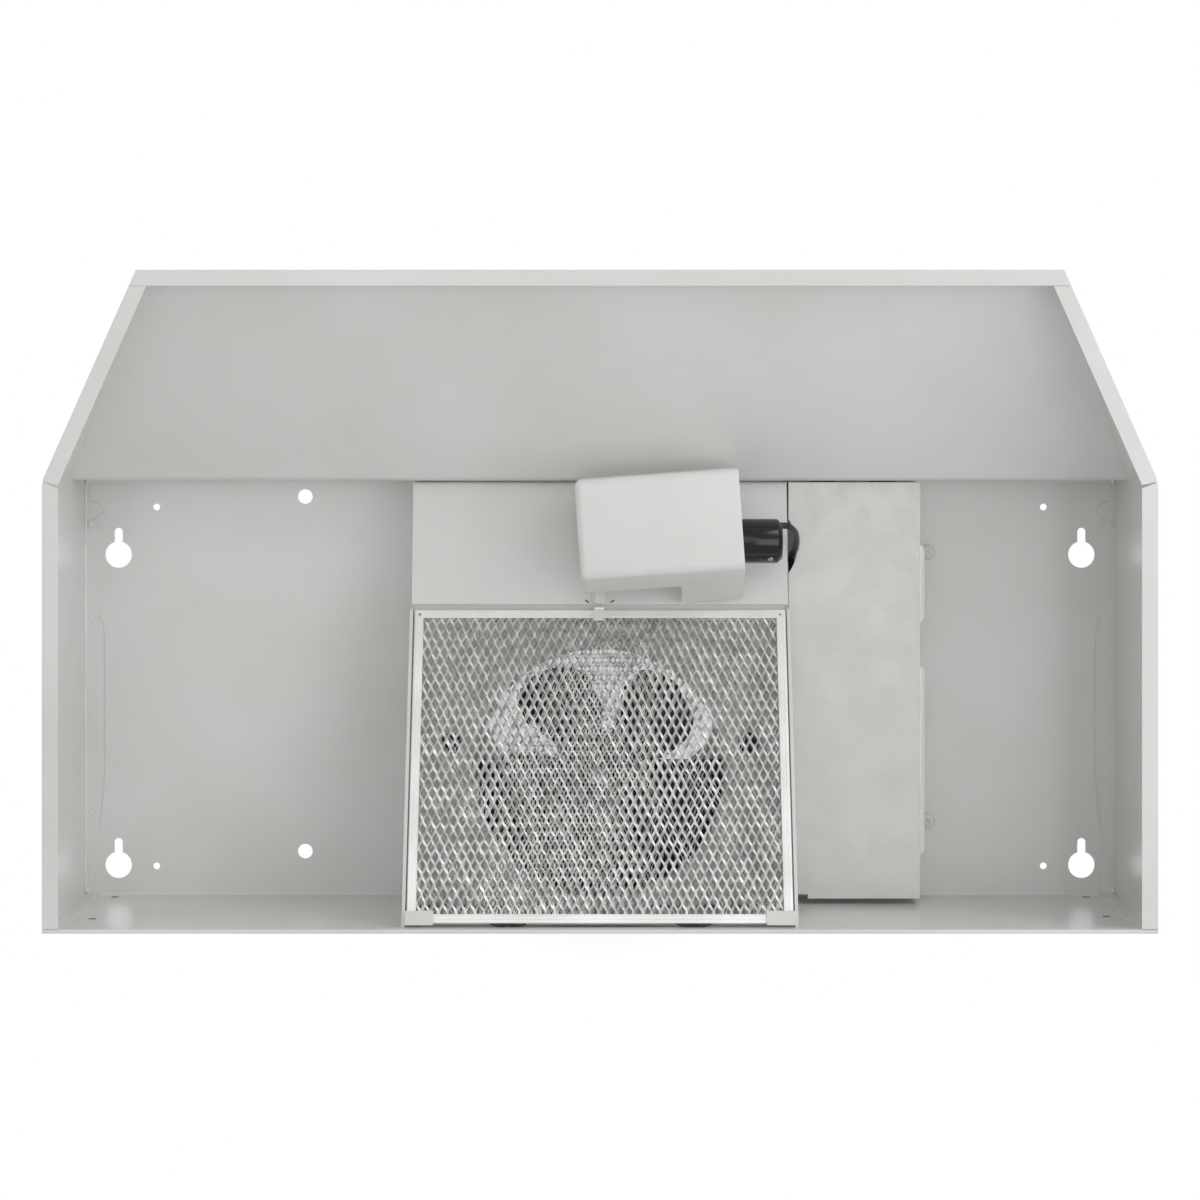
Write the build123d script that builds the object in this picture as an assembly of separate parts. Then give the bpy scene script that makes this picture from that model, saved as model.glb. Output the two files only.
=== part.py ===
from build123d import *
import os
from math import atan2, cos, degrees, hypot, pi, radians, sin, sqrt, tan

# Under-cabinet range hood, 30 in wide, with mitred front corners and a tilting grease filter.
# X runs along the width, Y to the wall, Z up. The origin is the middle of the rim plane.
# All sizes are in millimetres.

# ---- hood body: one folded sheet for top, back, fascia, slope and lip ----
WIDTH = 762.0
CEILING_DEPTH = 308.8
SLOPE_DEPTH = 144.8
HEIGHT = 152.4
FRONT_WIDTH = 633.6
FASCIA_HEIGHT = 50.0
LIP_HEIGHT = 16.0
SHEET = 0.9
BEND = 2.0
SOFT_BEND = 5.0
SMALL_BEND = 1.0
TIGHT_BEND = 0.4
RIM_FLANGE = 11.0
HEM_HEIGHT = 8.5
HEM_THICKNESS = 3.0

# ---- side panels ----
TOP_FLANGE_START = -46.0
BACK_FLANGE = 12.0
MITRE_NOTCH = 2.2
FLANGE_END_GAP = 0.4
PANEL_END_GAP = 0.3

# ---- holes in the ceiling ----
KEYHOLE_INSET = 25.4
KEYHOLE_FRONT_Y = -25.8
KEYHOLE_REAR_Y = 203.4
KEYHOLE_R = 9.75
KEYHOLE_SLOT_R = 3.0
KEYHOLE_SLOT_LENGTH = 16.8
SCREW_HOLE_INSET = 53.5
SCREW_HOLE_FRONT_Y = -60.9
SCREW_HOLE_REAR_Y = 204.2
SCREW_HOLE_R = 2.5
LIFT_HOLE_X = 217.7
LIFT_HOLE_FRONT_Y = -68.7
LIFT_HOLE_REAR_Y = 193.3
LIFT_HOLE_R = 5.4
RELIEF_R = 1.6

# ---- discharge opening in the ceiling, over the fan ----
DUCT_ASIDE = 51.5
DUCT_DEPTH = 88.0
DUCT_FROM_BACK = 96.8
DUCT_ROUND = 37.0

# ---- louvres in the fascia ----
LOUVRE_ROWS = 4
LOUVRE_COLUMNS = 6
LOUVRE_HEIGHT = 3.6
LOUVRE_LENGTH = 32.0
LOUVRE_PITCH_X = 40.0
LOUVRE_PITCH_Z = 7.6
LOUVRE_DROP = 29.8

# ---- fan housing ----
HOUSING_WIDTH = 270.0
HOUSING_SHEET = 0.9
HOUSING_FRONT_GAP = 0.9
HOUSING_FRONT_DROP = 41.4
HOUSING_STEP_Y = 8.0
HOUSING_STEP_DROP = 57.5
VENTURI_DROP = 52.9
HOUSING_FRONT_FLANGE = 6.0
HOUSING_TOP_FLANGE = 10.0
HOUSING_BACK_FLANGE = 9.0
CHEEK_LIP = 1.4
CHEEK_RISE = 1.0
SERVICE_HOLE_INSET = 28.0
SERVICE_HOLE_Y = 107.5
SERVICE_HOLE_R = 7.5

# ---- fan and motor ----
FAN_Y = 129.5
INLET_R = 89.0
INLET_COLLAR = 7.5
INLET_BEND = 4.0
FAN_TIP_R = 84.5
FAN_BLADES = 5
FAN_FIRST_BLADE = 26.5
BLADE_THICKNESS = 1.4
BLADE_PITCH = 18.0
# Points on a blade's edge, from its trailing root to its leading root: the share of the tip's
# radius and the angle of each.
BLADE_EDGE = (
    (0.296, -30.0),
    (0.568, -28.0),
    (0.781, -28.5),
    (0.935, -23.5),
    (1.0, -12.0),
    (0.994, 0.0),
    (0.947, 12.5),
    (0.811, 22.0),
    (0.568, 29.5),
    (0.296, 32.0),
)
FAN_HUB_R = 9.5
SPIDER_R = 31.0
FAN_HUB_LENGTH = 16.0
HUB_SHARE_BELOW = 0.7
FAN_DROP = 54.4
SHAFT_R = 2.38
SHAFT_PLAY = 0.05
SHAFT_TAIL = 4.0
STACK_X = 62.0
STACK_FRONT = 24.0
STACK_REAR = 46.0
STACK_HEIGHT = 18.0
STACK_DROP = 23.4
STACK_CHAMFER = 3.0
ROTOR_BORE_R = 16.6
ROTOR_GAP = 0.4
ROTOR_END_GAP = 0.6
WINDOW_X = 40.0
WINDOW_FRONT = 20.0
WINDOW_REAR = 31.0
COIL_WALL = 8.5
COIL_RISE = 5.5
COIL_GAP = 0.2
COIL_INSET = 2.0
COIL_ROUND = 4.0
BRIDGE_LENGTH = 62.0
BRIDGE_WIDTH = 20.0
BRIDGE_THICKNESS = 6.0
BRIDGE_ROUND = 6.0
BOSS_R = 9.0
BOSS_EXTRA = 2.5
BUSH_R = 4.5
BUSH_LENGTH = 6.0
BUSH_PLAY = 0.02
BUSH_START = 1.0
BRIDGE_SHAFT_ROOM = 0.6
MOTOR_SCREW_X = 26.0
MOTOR_SCREW_R = 2.0
MOTOR_HEAD_R = 3.8
MOTOR_HEAD_HEIGHT = 1.8
BRACKET_ASIDE = 35.0
BRACKET_FRONT = 5.0
BRACKET_REAR_GAP = 3.0
BRACKET_SHEET = 1.2
BRACKET_FOOT = 13.0
BRACKET_BOSS_PLAY = 0.5
NUT_SIZE = 3.6
NUT_HEIGHT = 2.4
CLIP_R = 6.0
CLIP_HEIGHT = 1.2

# ---- grease filter ----
FILTER_SIDE_GAP = 1.0
FILTER_THICKNESS = 5.0
FILTER_FRONT_Y = 11.0
FILTER_FRONT_SINK = 0.3
FILTER_REAR_Y = 221.4
FILTER_REAR_Z = 10.2
CHANNEL_FLANGE = 7.0
CHANNEL_SHEET = 0.6
CHANNEL_CORNER = 1.5
MESH_SHEET = 0.8
MESH_LIFT = 0.1
MESH_SHIFT = 3.0
MESH_ROW_OVERLAP = 0.78
MESH_EDGE_GAP = 0.4
MESH_COLUMNS = 20
MESH_ROWS = 15
MESH_STRAND = 2.2
PULL_TAB_WIDTH = 6.8
PULL_TAB_SHEET = 1.0
PULL_TAB_LEAD = 1.4
PULL_TAB_REACH = 8.0
STRAP_SKEW = 4.0
STRAP_X = -0.6
STRAP_BLANK = 20.0
SPRING_X = (-63.0, 64.8)
SPRING_LENGTH = 24.5
SPRING_BOW = 2.8
SPRING_SHEET = 0.4
SPRING_WIDTH = 3.0
SPRING_LIFT = 0.8
CLIP_PAD_LENGTH = 19.0
CLIP_PAD_DEPTH = 10.0
CLIP_PAD_GRIP = 8.6
CLIP_PAD_SHEET = 0.9
CLIP_PAD_GAP = 0.3
CLIP_LEG_SHEET = 0.6
CLIP_LEG_RISE = 6.0

# ---- lamp: lens, hinge, socket and bulb ----
LENS_CORNER_ASIDE = 153.0
LENS_CORNER_Y = -82.6
LENS_TURN = -4.08
LENS_LENGTH = 113.8
LENS_FLOOR = 68.4
LENS_RIM_DEPTH = 94.0
LENS_RIM_DROP = 64.4
LENS_HEIGHT = 66.0
LENS_WALL = 1.6
LENS_ROUND = 6.0
LENS_OVERCUT = 5.0
LENS_CUT_X = 80.0
LENS_CUT_RISE = 30.0
LENS_CUT_Y = 64.0
LENS_CUT_ROUND = 5.0
HINGE_INSET = 10.0
HINGE_RISE = 2.0
HINGE_PIN_R = 1.5
HINGE_PLAY = 0.05
EAR_R = 4.4
EAR_THICKNESS = 3.0
EAR_INSET = 14.0
EAR_ROOT = 14.0
HANGER_SHEET = 1.2
HANGER_GAP = 0.5
HANGER_WIDTH = 9.0
HANGER_OFFSET = 1.5
HANGER_FOOT = 9.0
PIN_OVERHANG = 2.0
STRAP_START_Y = -14.0
STRAP_SHEET = 0.9
SOCKET_Y = -39.3
SOCKET_DROP = 94.4
SOCKET_R = 15.6
SOCKET_LENGTH = 38.0
SOCKET_ASIDE = 7.0
SOCKET_CHAMFER = 3.0
SOCKET_CAVITY_R = 13.7
SOCKET_FLOOR = 7.0
SOCKET_FOOT_LENGTH = 16.0
SOCKET_FOOT_WIDTH = 14.0
SOCKET_FOOT_RISE = 0.8
SHELL_WALL = 0.5
SHELL_GAP = 0.15
SHELL_SINK = 3.0
BULB_R = 24.0
BULB_REACH = 62.0
BULB_NECK_R = 13.4
BULB_NECK_LENGTH = 6.0
BULB_SHOULDER = 38.0
CAP_R = 12.8
CAP_LENGTH = 25.0
CAP_SINK = 2.4
CAP_CHAMFER = 3.0
CONTACT_R = 4.0
LAMP_BRACKET_WIDTH = 18.0
LAMP_BRACKET_DEPTH = 22.0
LAMP_BRACKET_SHEET = 1.2

# ---- wiring compartment ----
COVER_GAP = 1.5
COVER_WIDTH = 95.2
COVER_FRONT_Y = -79.8
COVER_REAR_Y = 221.6
COVER_DROP = 40.3
COVER_SHEET = 0.9
COVER_LIP = 3.2
COVER_LIP_START = 0.6
COVER_LIP_SPANS = ((-34.0, 21.0), (54.0, 189.5))
LEAD_NOTCH_SPAN = (-53.0, -14.0)
LEAD_NOTCH_DEPTH = 6.4
LEAD_NOTCH_RISE = 16.0
PLUG_SLOT_SPAN = (65.0, 72.0)
PLUG_SLOT_ROOM = 2.0
CORNER_NOTCH_X = 14.0
CORNER_NOTCH_Y = 3.0
DOME_SCREW_ASIDE = 10.2
DOME_SCREW_Y = (-27.8, 170.4)
DOME_R = 5.5
DOME_HEIGHT = 2.6
DOME_SHANK_R = 2.0
TAB_HALF_WIDTH = 5.0
SCREW_PLAY = 0.05
SCREW_REACH = 0.4
SCREW_CHAMFER = 0.6
KNOCKOUT_R = 11.1
KNOCKOUT_GAP = 0.1
KNOCKOUT_ASIDE = 47.5
KNOCKOUT_Y = 150.0
KNOCKOUT_DROP = 20.4
GROUND_ASIDE = 63.5
GROUND_Y = 100.0
GROUND_HEAD_R = 4.2
GROUND_HEAD_HEIGHT = 2.0
GROUND_SLOT_WIDTH = 1.0
GROUND_SLOT_DEPTH = 0.8
GROUND_SHANK_R = 1.9

# ---- leads ----
LAMP_LEAD_R = 1.5
LAMP_LEAD_ASIDE = 2.9
LAMP_LEAD_LEAN = 4.0
LAMP_LEAD_RISE = 24.0
MOTOR_LEAD_R = 1.2
MOTOR_LEAD_GAP = 0.15
MOTOR_LEAD_RISE = 3.5
MOTOR_LEAD_EXIT = 4.0
MOTOR_LEAD_STRAIGHT = 17.0
MOTOR_LEAD_LEAVE = 0.34
MOTOR_LEAD_BENDS = ((0.74, 0.22), (0.96, 0.42))
CONNECTOR_R = 5.2
CONNECTOR_TIP_R = 3.0
CONNECTOR_LENGTH = 14.0
CONNECTOR_DROP = 20.4
CONNECTOR_ASIDE = 10.5
GROMMET_Y = 68.5
GROMMET_DROP = 25.4
GROMMET_NECK_R = 4.6
GROMMET_FLANGE_R = 6.2
GROMMET_FLANGE = 1.2
GROMMET_BORE_R = 2.7
PLUG_STANDOFF = 17.0
PLUG_LENGTH = 18.0
PLUG_WIDTH = 12.0
PLUG_HEIGHT = 9.0
PLUG_BRACKET_SHEET = 1.0
PLUG_BRACKET_INSET = 3.0
PLUG_BRACKET_FOOT = 10.0
PLUG_ROUND = 1.0

# ---- rocker switches in the fascia ----
SWITCH_ASIDE = (26.5, 69.5)
SWITCH_DROP = 24.4
SWITCH_BODY_X = 16.0
SWITCH_BODY_Z = 26.0
SWITCH_DEPTH = 22.0
SWITCH_FIT = 0.1
BEZEL_MARGIN = 2.4
BEZEL_THICKNESS = 1.8
BEZEL_CHAMFER = 0.6
ROCKER_WIDTH = 12.0
ROCKER_R = 10.0
ROCKER_GAP = 0.35
ROCKER_PROUD = 3.2
ROCKER_DEPTH = 5.0
ROCKER_ROOM = 3.0
ROCKER_THROW = 10.0
ROCKER_PIN_R = 1.2
ROCKER_PIN_LENGTH = 1.2
TERMINAL_WIDTH = 4.8
TERMINAL_SHEET = 0.8
TERMINAL_LENGTH = 8.0
TERMINAL_PITCH = 8.0

# ---- places worked out from the sizes above ----
HALF_WIDTH = WIDTH / 2
BACK_Y = (CEILING_DEPTH + SLOPE_DEPTH) / 2
FRONT_Y = -BACK_Y
FASCIA_Y = BACK_Y - CEILING_DEPTH
CEILING_Z = HEIGHT - SHEET
BACK_FACE = BACK_Y - SHEET
CHEEK_X = HOUSING_WIDTH / 2
HOUSING_FRONT_Y = FASCIA_Y + SHEET + HOUSING_FRONT_GAP
HOUSING_REAR_Y = BACK_FACE - HOUSING_FRONT_GAP
CHEEK_FACE = CHEEK_X - HOUSING_SHEET
KEYHOLE_X = HALF_WIDTH - KEYHOLE_INSET
DUCT_HALF = CHEEK_X - DUCT_ASIDE
DUCT_REAR_Y = BACK_Y - DUCT_FROM_BACK
SCREW_HOLE_X = HALF_WIDTH - SCREW_HOLE_INSET
LOUVRE_LOWEST = HEIGHT - LOUVRE_DROP
HOUSING_FRONT_Z = HEIGHT - HOUSING_FRONT_DROP
HOUSING_STEP_Z = HEIGHT - HOUSING_STEP_DROP
VENTURI_Z = HEIGHT - VENTURI_DROP
SERVICE_HOLE_X = CHEEK_X - SERVICE_HOLE_INSET
FAN_MID_Z = HEIGHT - FAN_DROP
STACK_MID_Z = HEIGHT - STACK_DROP
FILTER_WIDTH = 2 * (CHEEK_FACE - FILTER_SIDE_GAP)
FILTER_FRONT_Z = HOUSING_STEP_Z - FILTER_FRONT_SINK
FILTER_ANGLE = degrees(atan2(FILTER_FRONT_Z - FILTER_REAR_Z, FILTER_REAR_Y - FILTER_FRONT_Y))
FILTER_LENGTH = hypot(FILTER_FRONT_Z - FILTER_REAR_Z, FILTER_REAR_Y - FILTER_FRONT_Y)
FILTER_FRAME = Plane(
    origin=(0, FILTER_REAR_Y, FILTER_REAR_Z),
    x_dir=(1, 0, 0),
    z_dir=(0, sin(radians(FILTER_ANGLE)), cos(radians(FILTER_ANGLE))),
)
LENS_CORNER_X = CHEEK_X - LENS_CORNER_ASIDE
LENS_RIM_Z = HEIGHT - LENS_RIM_DROP
LENS_BOTTOM_Z = LENS_RIM_Z - LENS_HEIGHT
LENS_CUT_Z = LENS_BOTTOM_Z + LENS_CUT_RISE
HINGE_Z = LENS_RIM_Z + HINGE_RISE
LENS_FRAME = Location((LENS_CORNER_X, LENS_CORNER_Y, 0), (0, 0, LENS_TURN))
SOCKET_Z = HEIGHT - SOCKET_DROP
SOCKET_REAR_X = CHEEK_X - SOCKET_ASIDE
SOCKET_FRONT_X = SOCKET_REAR_X - SOCKET_LENGTH
CAP_START_X = SOCKET_FRONT_X + CAP_SINK
COVER_LEFT_X = CHEEK_X + COVER_GAP
COVER_RIGHT_X = COVER_LEFT_X + COVER_WIDTH
COVER_Z = HEIGHT - COVER_DROP
DOME_SCREW_X = COVER_RIGHT_X + DOME_SCREW_ASIDE
KNOCKOUT_X = COVER_LEFT_X + KNOCKOUT_ASIDE
KNOCKOUT_Z = HEIGHT - KNOCKOUT_DROP
GROUND_X = COVER_LEFT_X + GROUND_ASIDE
CONNECTOR_X = COVER_LEFT_X + CONNECTOR_ASIDE
CONNECTOR_Z = HEIGHT - CONNECTOR_DROP
GROMMET_Z = HEIGHT - GROMMET_DROP
PLUG_X = CHEEK_X + PLUG_STANDOFF
SWITCH_X = [COVER_LEFT_X + aside for aside in SWITCH_ASIDE]
SWITCH_Z = HEIGHT - SWITCH_DROP
STACK_BOTTOM = STACK_MID_Z - STACK_HEIGHT / 2
STACK_TOP = STACK_MID_Z + STACK_HEIGHT / 2
BRIDGE_TOP = STACK_TOP + BRIDGE_THICKNESS
BRIDGE_BOTTOM = STACK_BOTTOM - BRIDGE_THICKNESS
HUB_BOTTOM = FAN_MID_Z - FAN_HUB_LENGTH * HUB_SHARE_BELOW
BRACKET_HALF = CHEEK_X - BRACKET_ASIDE


# ---- helpers ----
def block(x0, x1, y0, y1, z0, z1):
    """A box between two corners."""
    centre = ((x0 + x1) / 2, (y0 + y1) / 2, (z0 + z1) / 2)
    return Pos(*centre) * Box(abs(x1 - x0), abs(y1 - y0), abs(z1 - z0))


def post(x, y, z0, z1, radius):
    """A cylinder along Z."""
    return Pos(x, y, (z0 + z1) / 2) * Cylinder(radius, abs(z1 - z0))


def rod(x0, x1, y, z, radius):
    """A cylinder along X."""
    return Pos((x0 + x1) / 2, y, z) * Rot(0, 90, 0) * Cylinder(radius, abs(x1 - x0))


def plan(points, z0, z1):
    """A prism on an outline of (x, y) points."""
    return Pos(0, 0, z0) * extrude(make_face(Polyline(*points, close=True)), amount=z1 - z0)


def side_prism(points, x0, x1):
    """A prism along X on an outline of (y, z) points."""
    face = Plane.YZ * make_face(Polyline(*points, close=True))
    return Pos(x0, 0, 0) * extrude(face, amount=x1 - x0)


def unit(vector):
    """The vector at length one."""
    length = hypot(*vector)
    return (vector[0] / length, vector[1] / length)


def moved_aside(points, distance):
    """The corners of a line moved to its left by a distance."""
    moved = []
    last = len(points) - 1
    for i, (u, v) in enumerate(points):
        before = unit((u - points[i - 1][0], v - points[i - 1][1])) if i > 0 else None
        after = unit((points[i + 1][0] - u, points[i + 1][1] - v)) if i < last else None
        before = before or after
        after = after or before
        lean = 1 + before[0] * after[0] + before[1] * after[1]
        across = (-(before[1] + after[1]) / lean, (before[0] + after[0]) / lean)
        moved.append((u + across[0] * distance, v + across[1] * distance))
    return moved


def turns_left(a, b, c):
    """Whether the line a, b, c turns to the left at b."""
    return (b[0] - a[0]) * (c[1] - b[1]) - (b[1] - a[1]) * (c[0] - b[0]) > 0


def sheet_face(points, thickness, inside_radii):
    """The cut face of a folded sheet that lies to the left of a line of points."""
    other = moved_aside(points, thickness)
    near, far = [], []
    for i, radius in enumerate(inside_radii):
        left = turns_left(points[i], points[i + 1], points[i + 2])
        near.append(radius + thickness if left else radius)
        far.append(radius if left else radius + thickness)
    if inside_radii:
        one = FilletPolyline(*points, radius=near)
        two = FilletPolyline(*other, radius=far)
    else:
        one = Polyline(*points)
        two = Polyline(*other)
    ends = [Line(points[0], other[0]), Line(points[-1], other[-1])]
    return make_face([*one.edges(), *two.edges(), *[end.edges()[0] for end in ends]])


def folded_along_x(points, thickness, radii, x0, x1):
    """A folded sheet whose (y, z) section runs along X."""
    return Pos(x0, 0, 0) * extrude(Plane.YZ * sheet_face(points, thickness, radii), amount=x1 - x0)


def mirrored(solid):
    """The same piece on the other side of the YZ plane."""
    return mirror(solid, about=Plane.YZ)


def one_node(*solids):
    """Separate solids kept together as one node."""
    flat = []
    for solid in solids:
        flat.extend(solid.solids())
    return Compound(children=flat)


def lead(points, radius):
    """A wire along straight runs joined by arcs as large as the runs allow."""
    corners = [Vector(*p) for p in points]
    radii = []
    for a, b, c in zip(corners, corners[1:], corners[2:]):
        half_turn = radians((b - a).get_angle(c - b)) / 2
        radii.append(0.45 * min((b - a).length, (c - b).length) / tan(half_turn))
    path = FilletPolyline(*corners, radius=radii)
    start = Plane(origin=corners[0], z_dir=corners[1] - corners[0])
    tube = sweep(start * Circle(radius), path=path)
    share = tube.volume / (pi * radius**2 * path.length)
    print("lead radii", [round(r, 1) for r in radii], "volume share", round(share, 4))
    return tube


def housing_line_z(y):
    """Height of the front plate's lower face."""
    fall = (HOUSING_FRONT_Z - HOUSING_STEP_Z) / (HOUSING_STEP_Y - HOUSING_FRONT_Y)
    return HOUSING_FRONT_Z - fall * (y - HOUSING_FRONT_Y)


# ---- hood body ----
def wrapper_line():
    """Outer line of the folded body from the hem at the back to the flange at the front."""
    return [
        (BACK_Y - HEM_THICKNESS, HEM_HEIGHT),
        (BACK_Y - HEM_THICKNESS, 0),
        (BACK_Y, 0),
        (BACK_Y, HEIGHT),
        (FASCIA_Y, HEIGHT),
        (FASCIA_Y, HEIGHT - FASCIA_HEIGHT),
        (FRONT_Y, LIP_HEIGHT),
        (FRONT_Y, 0),
        (FRONT_Y + RIM_FLANGE, 0),
    ]


def body_room():
    """The space inside the folded body, with its rounded bends."""
    inner = moved_aside(wrapper_line(), SHEET)
    corners = [(BACK_FACE, 0), *inner[3:7], (FRONT_Y + SHEET, 0)]
    line = FilletPolyline(*corners, radius=[BEND, BEND, SOFT_BEND + SHEET, BEND])
    rim = Line(corners[-1], corners[0])
    face = Plane.YZ * make_face([*line.edges(), *rim.edges()])
    return Pos(-HALF_WIDTH, 0, 0) * extrude(face, amount=WIDTH)


def body_outline():
    """Plan outline of the hood with its mitred front corners."""
    right = [(FRONT_WIDTH / 2, FRONT_Y), (HALF_WIDTH, FASCIA_Y), (HALF_WIDTH, BACK_Y)]
    return right + [(-x, y) for x, y in reversed(right)]


def keyhole(x, y):
    """A keyhole whose slot points to the front."""
    z0, z1 = CEILING_Z - 1, HEIGHT + 1
    slot_end = y - KEYHOLE_SLOT_LENGTH
    hole = post(x, y, z0, z1, KEYHOLE_R) + post(x, slot_end, z0, z1, KEYHOLE_SLOT_R)
    return hole + block(x - KEYHOLE_SLOT_R, x + KEYHOLE_SLOT_R, slot_end, y, z0, z1)


def ceiling_holes():
    """Every hole through the ceiling sheet."""
    z0, z1 = CEILING_Z - 1, HEIGHT + 1
    holes = []
    for side in (-1, 1):
        holes.append(keyhole(side * KEYHOLE_X, KEYHOLE_FRONT_Y))
        holes.append(keyhole(side * KEYHOLE_X, KEYHOLE_REAR_Y))
        for y in (SCREW_HOLE_FRONT_Y, SCREW_HOLE_REAR_Y):
            holes.append(post(side * SCREW_HOLE_X, y, z0, z1, SCREW_HOLE_R))
        for y in (LIFT_HOLE_FRONT_Y, LIFT_HOLE_REAR_Y):
            holes.append(post(side * LIFT_HOLE_X, y, z0, z1, LIFT_HOLE_R))
    for y in DOME_SCREW_Y:
        holes.append(post(DOME_SCREW_X, y, z0, z1, DOME_SHANK_R + SCREW_PLAY))
    holes.append(post(GROUND_X, GROUND_Y, z0, z1, GROUND_SHANK_R + SCREW_PLAY))
    holes.append(post(KNOCKOUT_X, KNOCKOUT_Y, z0, z1, KNOCKOUT_R))
    duct = block(-DUCT_HALF, DUCT_HALF, DUCT_REAR_Y - DUCT_DEPTH, DUCT_REAR_Y, z0, z1)
    holes.append(fillet(duct.edges().filter_by(Axis.Z), DUCT_ROUND))
    return holes


def fascia_holes():
    """Louvre slots and switch cut-outs in the fascia."""
    y0, y1 = FASCIA_Y - 1, FASCIA_Y + SHEET + 1
    holes = []
    for row in range(LOUVRE_ROWS):
        z = LOUVRE_LOWEST + row * LOUVRE_PITCH_Z
        for column in range(LOUVRE_COLUMNS):
            x = (column - (LOUVRE_COLUMNS - 1) / 2) * LOUVRE_PITCH_X
            radius = LOUVRE_HEIGHT / 2
            half = LOUVRE_LENGTH / 2 - radius
            slot = block(x - half, x + half, y0, y1, z - radius, z + radius)
            round_end = Rot(90, 0, 0) * Cylinder(radius, y1 - y0)
            for end in (-half, half):
                slot += Pos(x + end, (y0 + y1) / 2, z) * round_end
            holes.append(slot)
    for x in SWITCH_X:
        half_x = SWITCH_BODY_X / 2 + SWITCH_FIT
        half_z = SWITCH_BODY_Z / 2 + SWITCH_FIT
        holes.append(block(x - half_x, x + half_x, y0, y1, SWITCH_Z - half_z, SWITCH_Z + half_z))
    return holes


def make_hood_shell():
    """Top, back, fascia, slope, lip and front flange folded from one sheet."""
    radii = [TIGHT_BEND, TIGHT_BEND, BEND, BEND, SOFT_BEND, BEND, TIGHT_BEND]
    shell = folded_along_x(wrapper_line(), SHEET, radii, -HALF_WIDTH, HALF_WIDTH)
    shell = shell & plan(body_outline(), -1, HEIGHT + 1)
    holes = ceiling_holes() + fascia_holes()
    back_hole = Pos(KNOCKOUT_X, BACK_Y, KNOCKOUT_Z) * Rot(90, 0, 0) * Cylinder(KNOCKOUT_R, 4 * SHEET)
    holes.append(back_hole)
    return shell - holes


def mitre_direction():
    """Unit vector along the right mitre, from the front corner to the bend."""
    return unit((HALF_WIDTH - FRONT_WIDTH / 2, FASCIA_Y - FRONT_Y))


def make_right_side_panel():
    """Side wall with its mitred front, rim flanges, top flange and back flange."""
    line = [(FRONT_WIDTH / 2, FRONT_Y), (HALF_WIDTH, FASCIA_Y), (HALF_WIDTH, BACK_FACE)]
    wall = extrude(sheet_face(line, SHEET, [BEND]), amount=CEILING_Z)
    along_x, along_y = mitre_direction()
    mitre_flange = plan(
        [
            (FRONT_WIDTH / 2, FRONT_Y),
            (HALF_WIDTH, FASCIA_Y),
            (HALF_WIDTH - RIM_FLANGE, FASCIA_Y + RIM_FLANGE * tan(atan2(along_x, along_y) / 2)),
            (FRONT_WIDTH / 2 - RIM_FLANGE * along_y, FRONT_Y + RIM_FLANGE * along_x),
        ],
        0,
        SHEET,
    )
    front_edge = FRONT_Y + RIM_FLANGE + FLANGE_END_GAP
    mitre_flange -= block(0, WIDTH, FRONT_Y - 1, front_edge, -1, SHEET + 1)
    notch_y = FASCIA_Y + RIM_FLANGE * tan(atan2(along_x, along_y) / 2) + MITRE_NOTCH
    side_flange = plan(
        [
            (HALF_WIDTH, FASCIA_Y + FLANGE_END_GAP),
            (HALF_WIDTH, BACK_Y - HEM_THICKNESS - PANEL_END_GAP),
            (HALF_WIDTH - RIM_FLANGE, BACK_Y - HEM_THICKNESS - PANEL_END_GAP),
            (HALF_WIDTH - RIM_FLANGE, notch_y),
        ],
        0,
        SHEET,
    )
    top_flange = block(
        HALF_WIDTH - RIM_FLANGE, HALF_WIDTH, TOP_FLANGE_START, BACK_FACE, CEILING_Z - SHEET, CEILING_Z
    )
    back_flange = block(
        HALF_WIDTH - BACK_FLANGE,
        HALF_WIDTH,
        BACK_FACE - SHEET,
        BACK_FACE,
        HEM_HEIGHT + BEND,
        CEILING_Z - SHEET,
    )
    panel = wall + mitre_flange + side_flange + top_flange + back_flange
    panel = panel & body_room()
    hem_room = block(
        0, WIDTH, BACK_Y - HEM_THICKNESS - PANEL_END_GAP, BACK_Y, -1, HEM_HEIGHT + PANEL_END_GAP
    )
    lip_room = block(0, WIDTH, FRONT_Y - 1, front_edge, -1, SHEET + TIGHT_BEND)
    relief = post(HALF_WIDTH, FASCIA_Y, -1, SHEET + BEND, RELIEF_R)
    return panel - hem_room - lip_room - relief


# ---- fan housing ----
def cheek_line():
    """Lower edge of the housing's cheek, just above the plane of the filter's lower face."""
    front_z = FILTER_FRONT_Z + CHEEK_RISE / cos(radians(FILTER_ANGLE))
    fall = (HOUSING_REAR_Y - FILTER_FRONT_Y) * tan(radians(FILTER_ANGLE))
    return [(FILTER_FRONT_Y, front_z), (HOUSING_REAR_Y, front_z - fall)]


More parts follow.
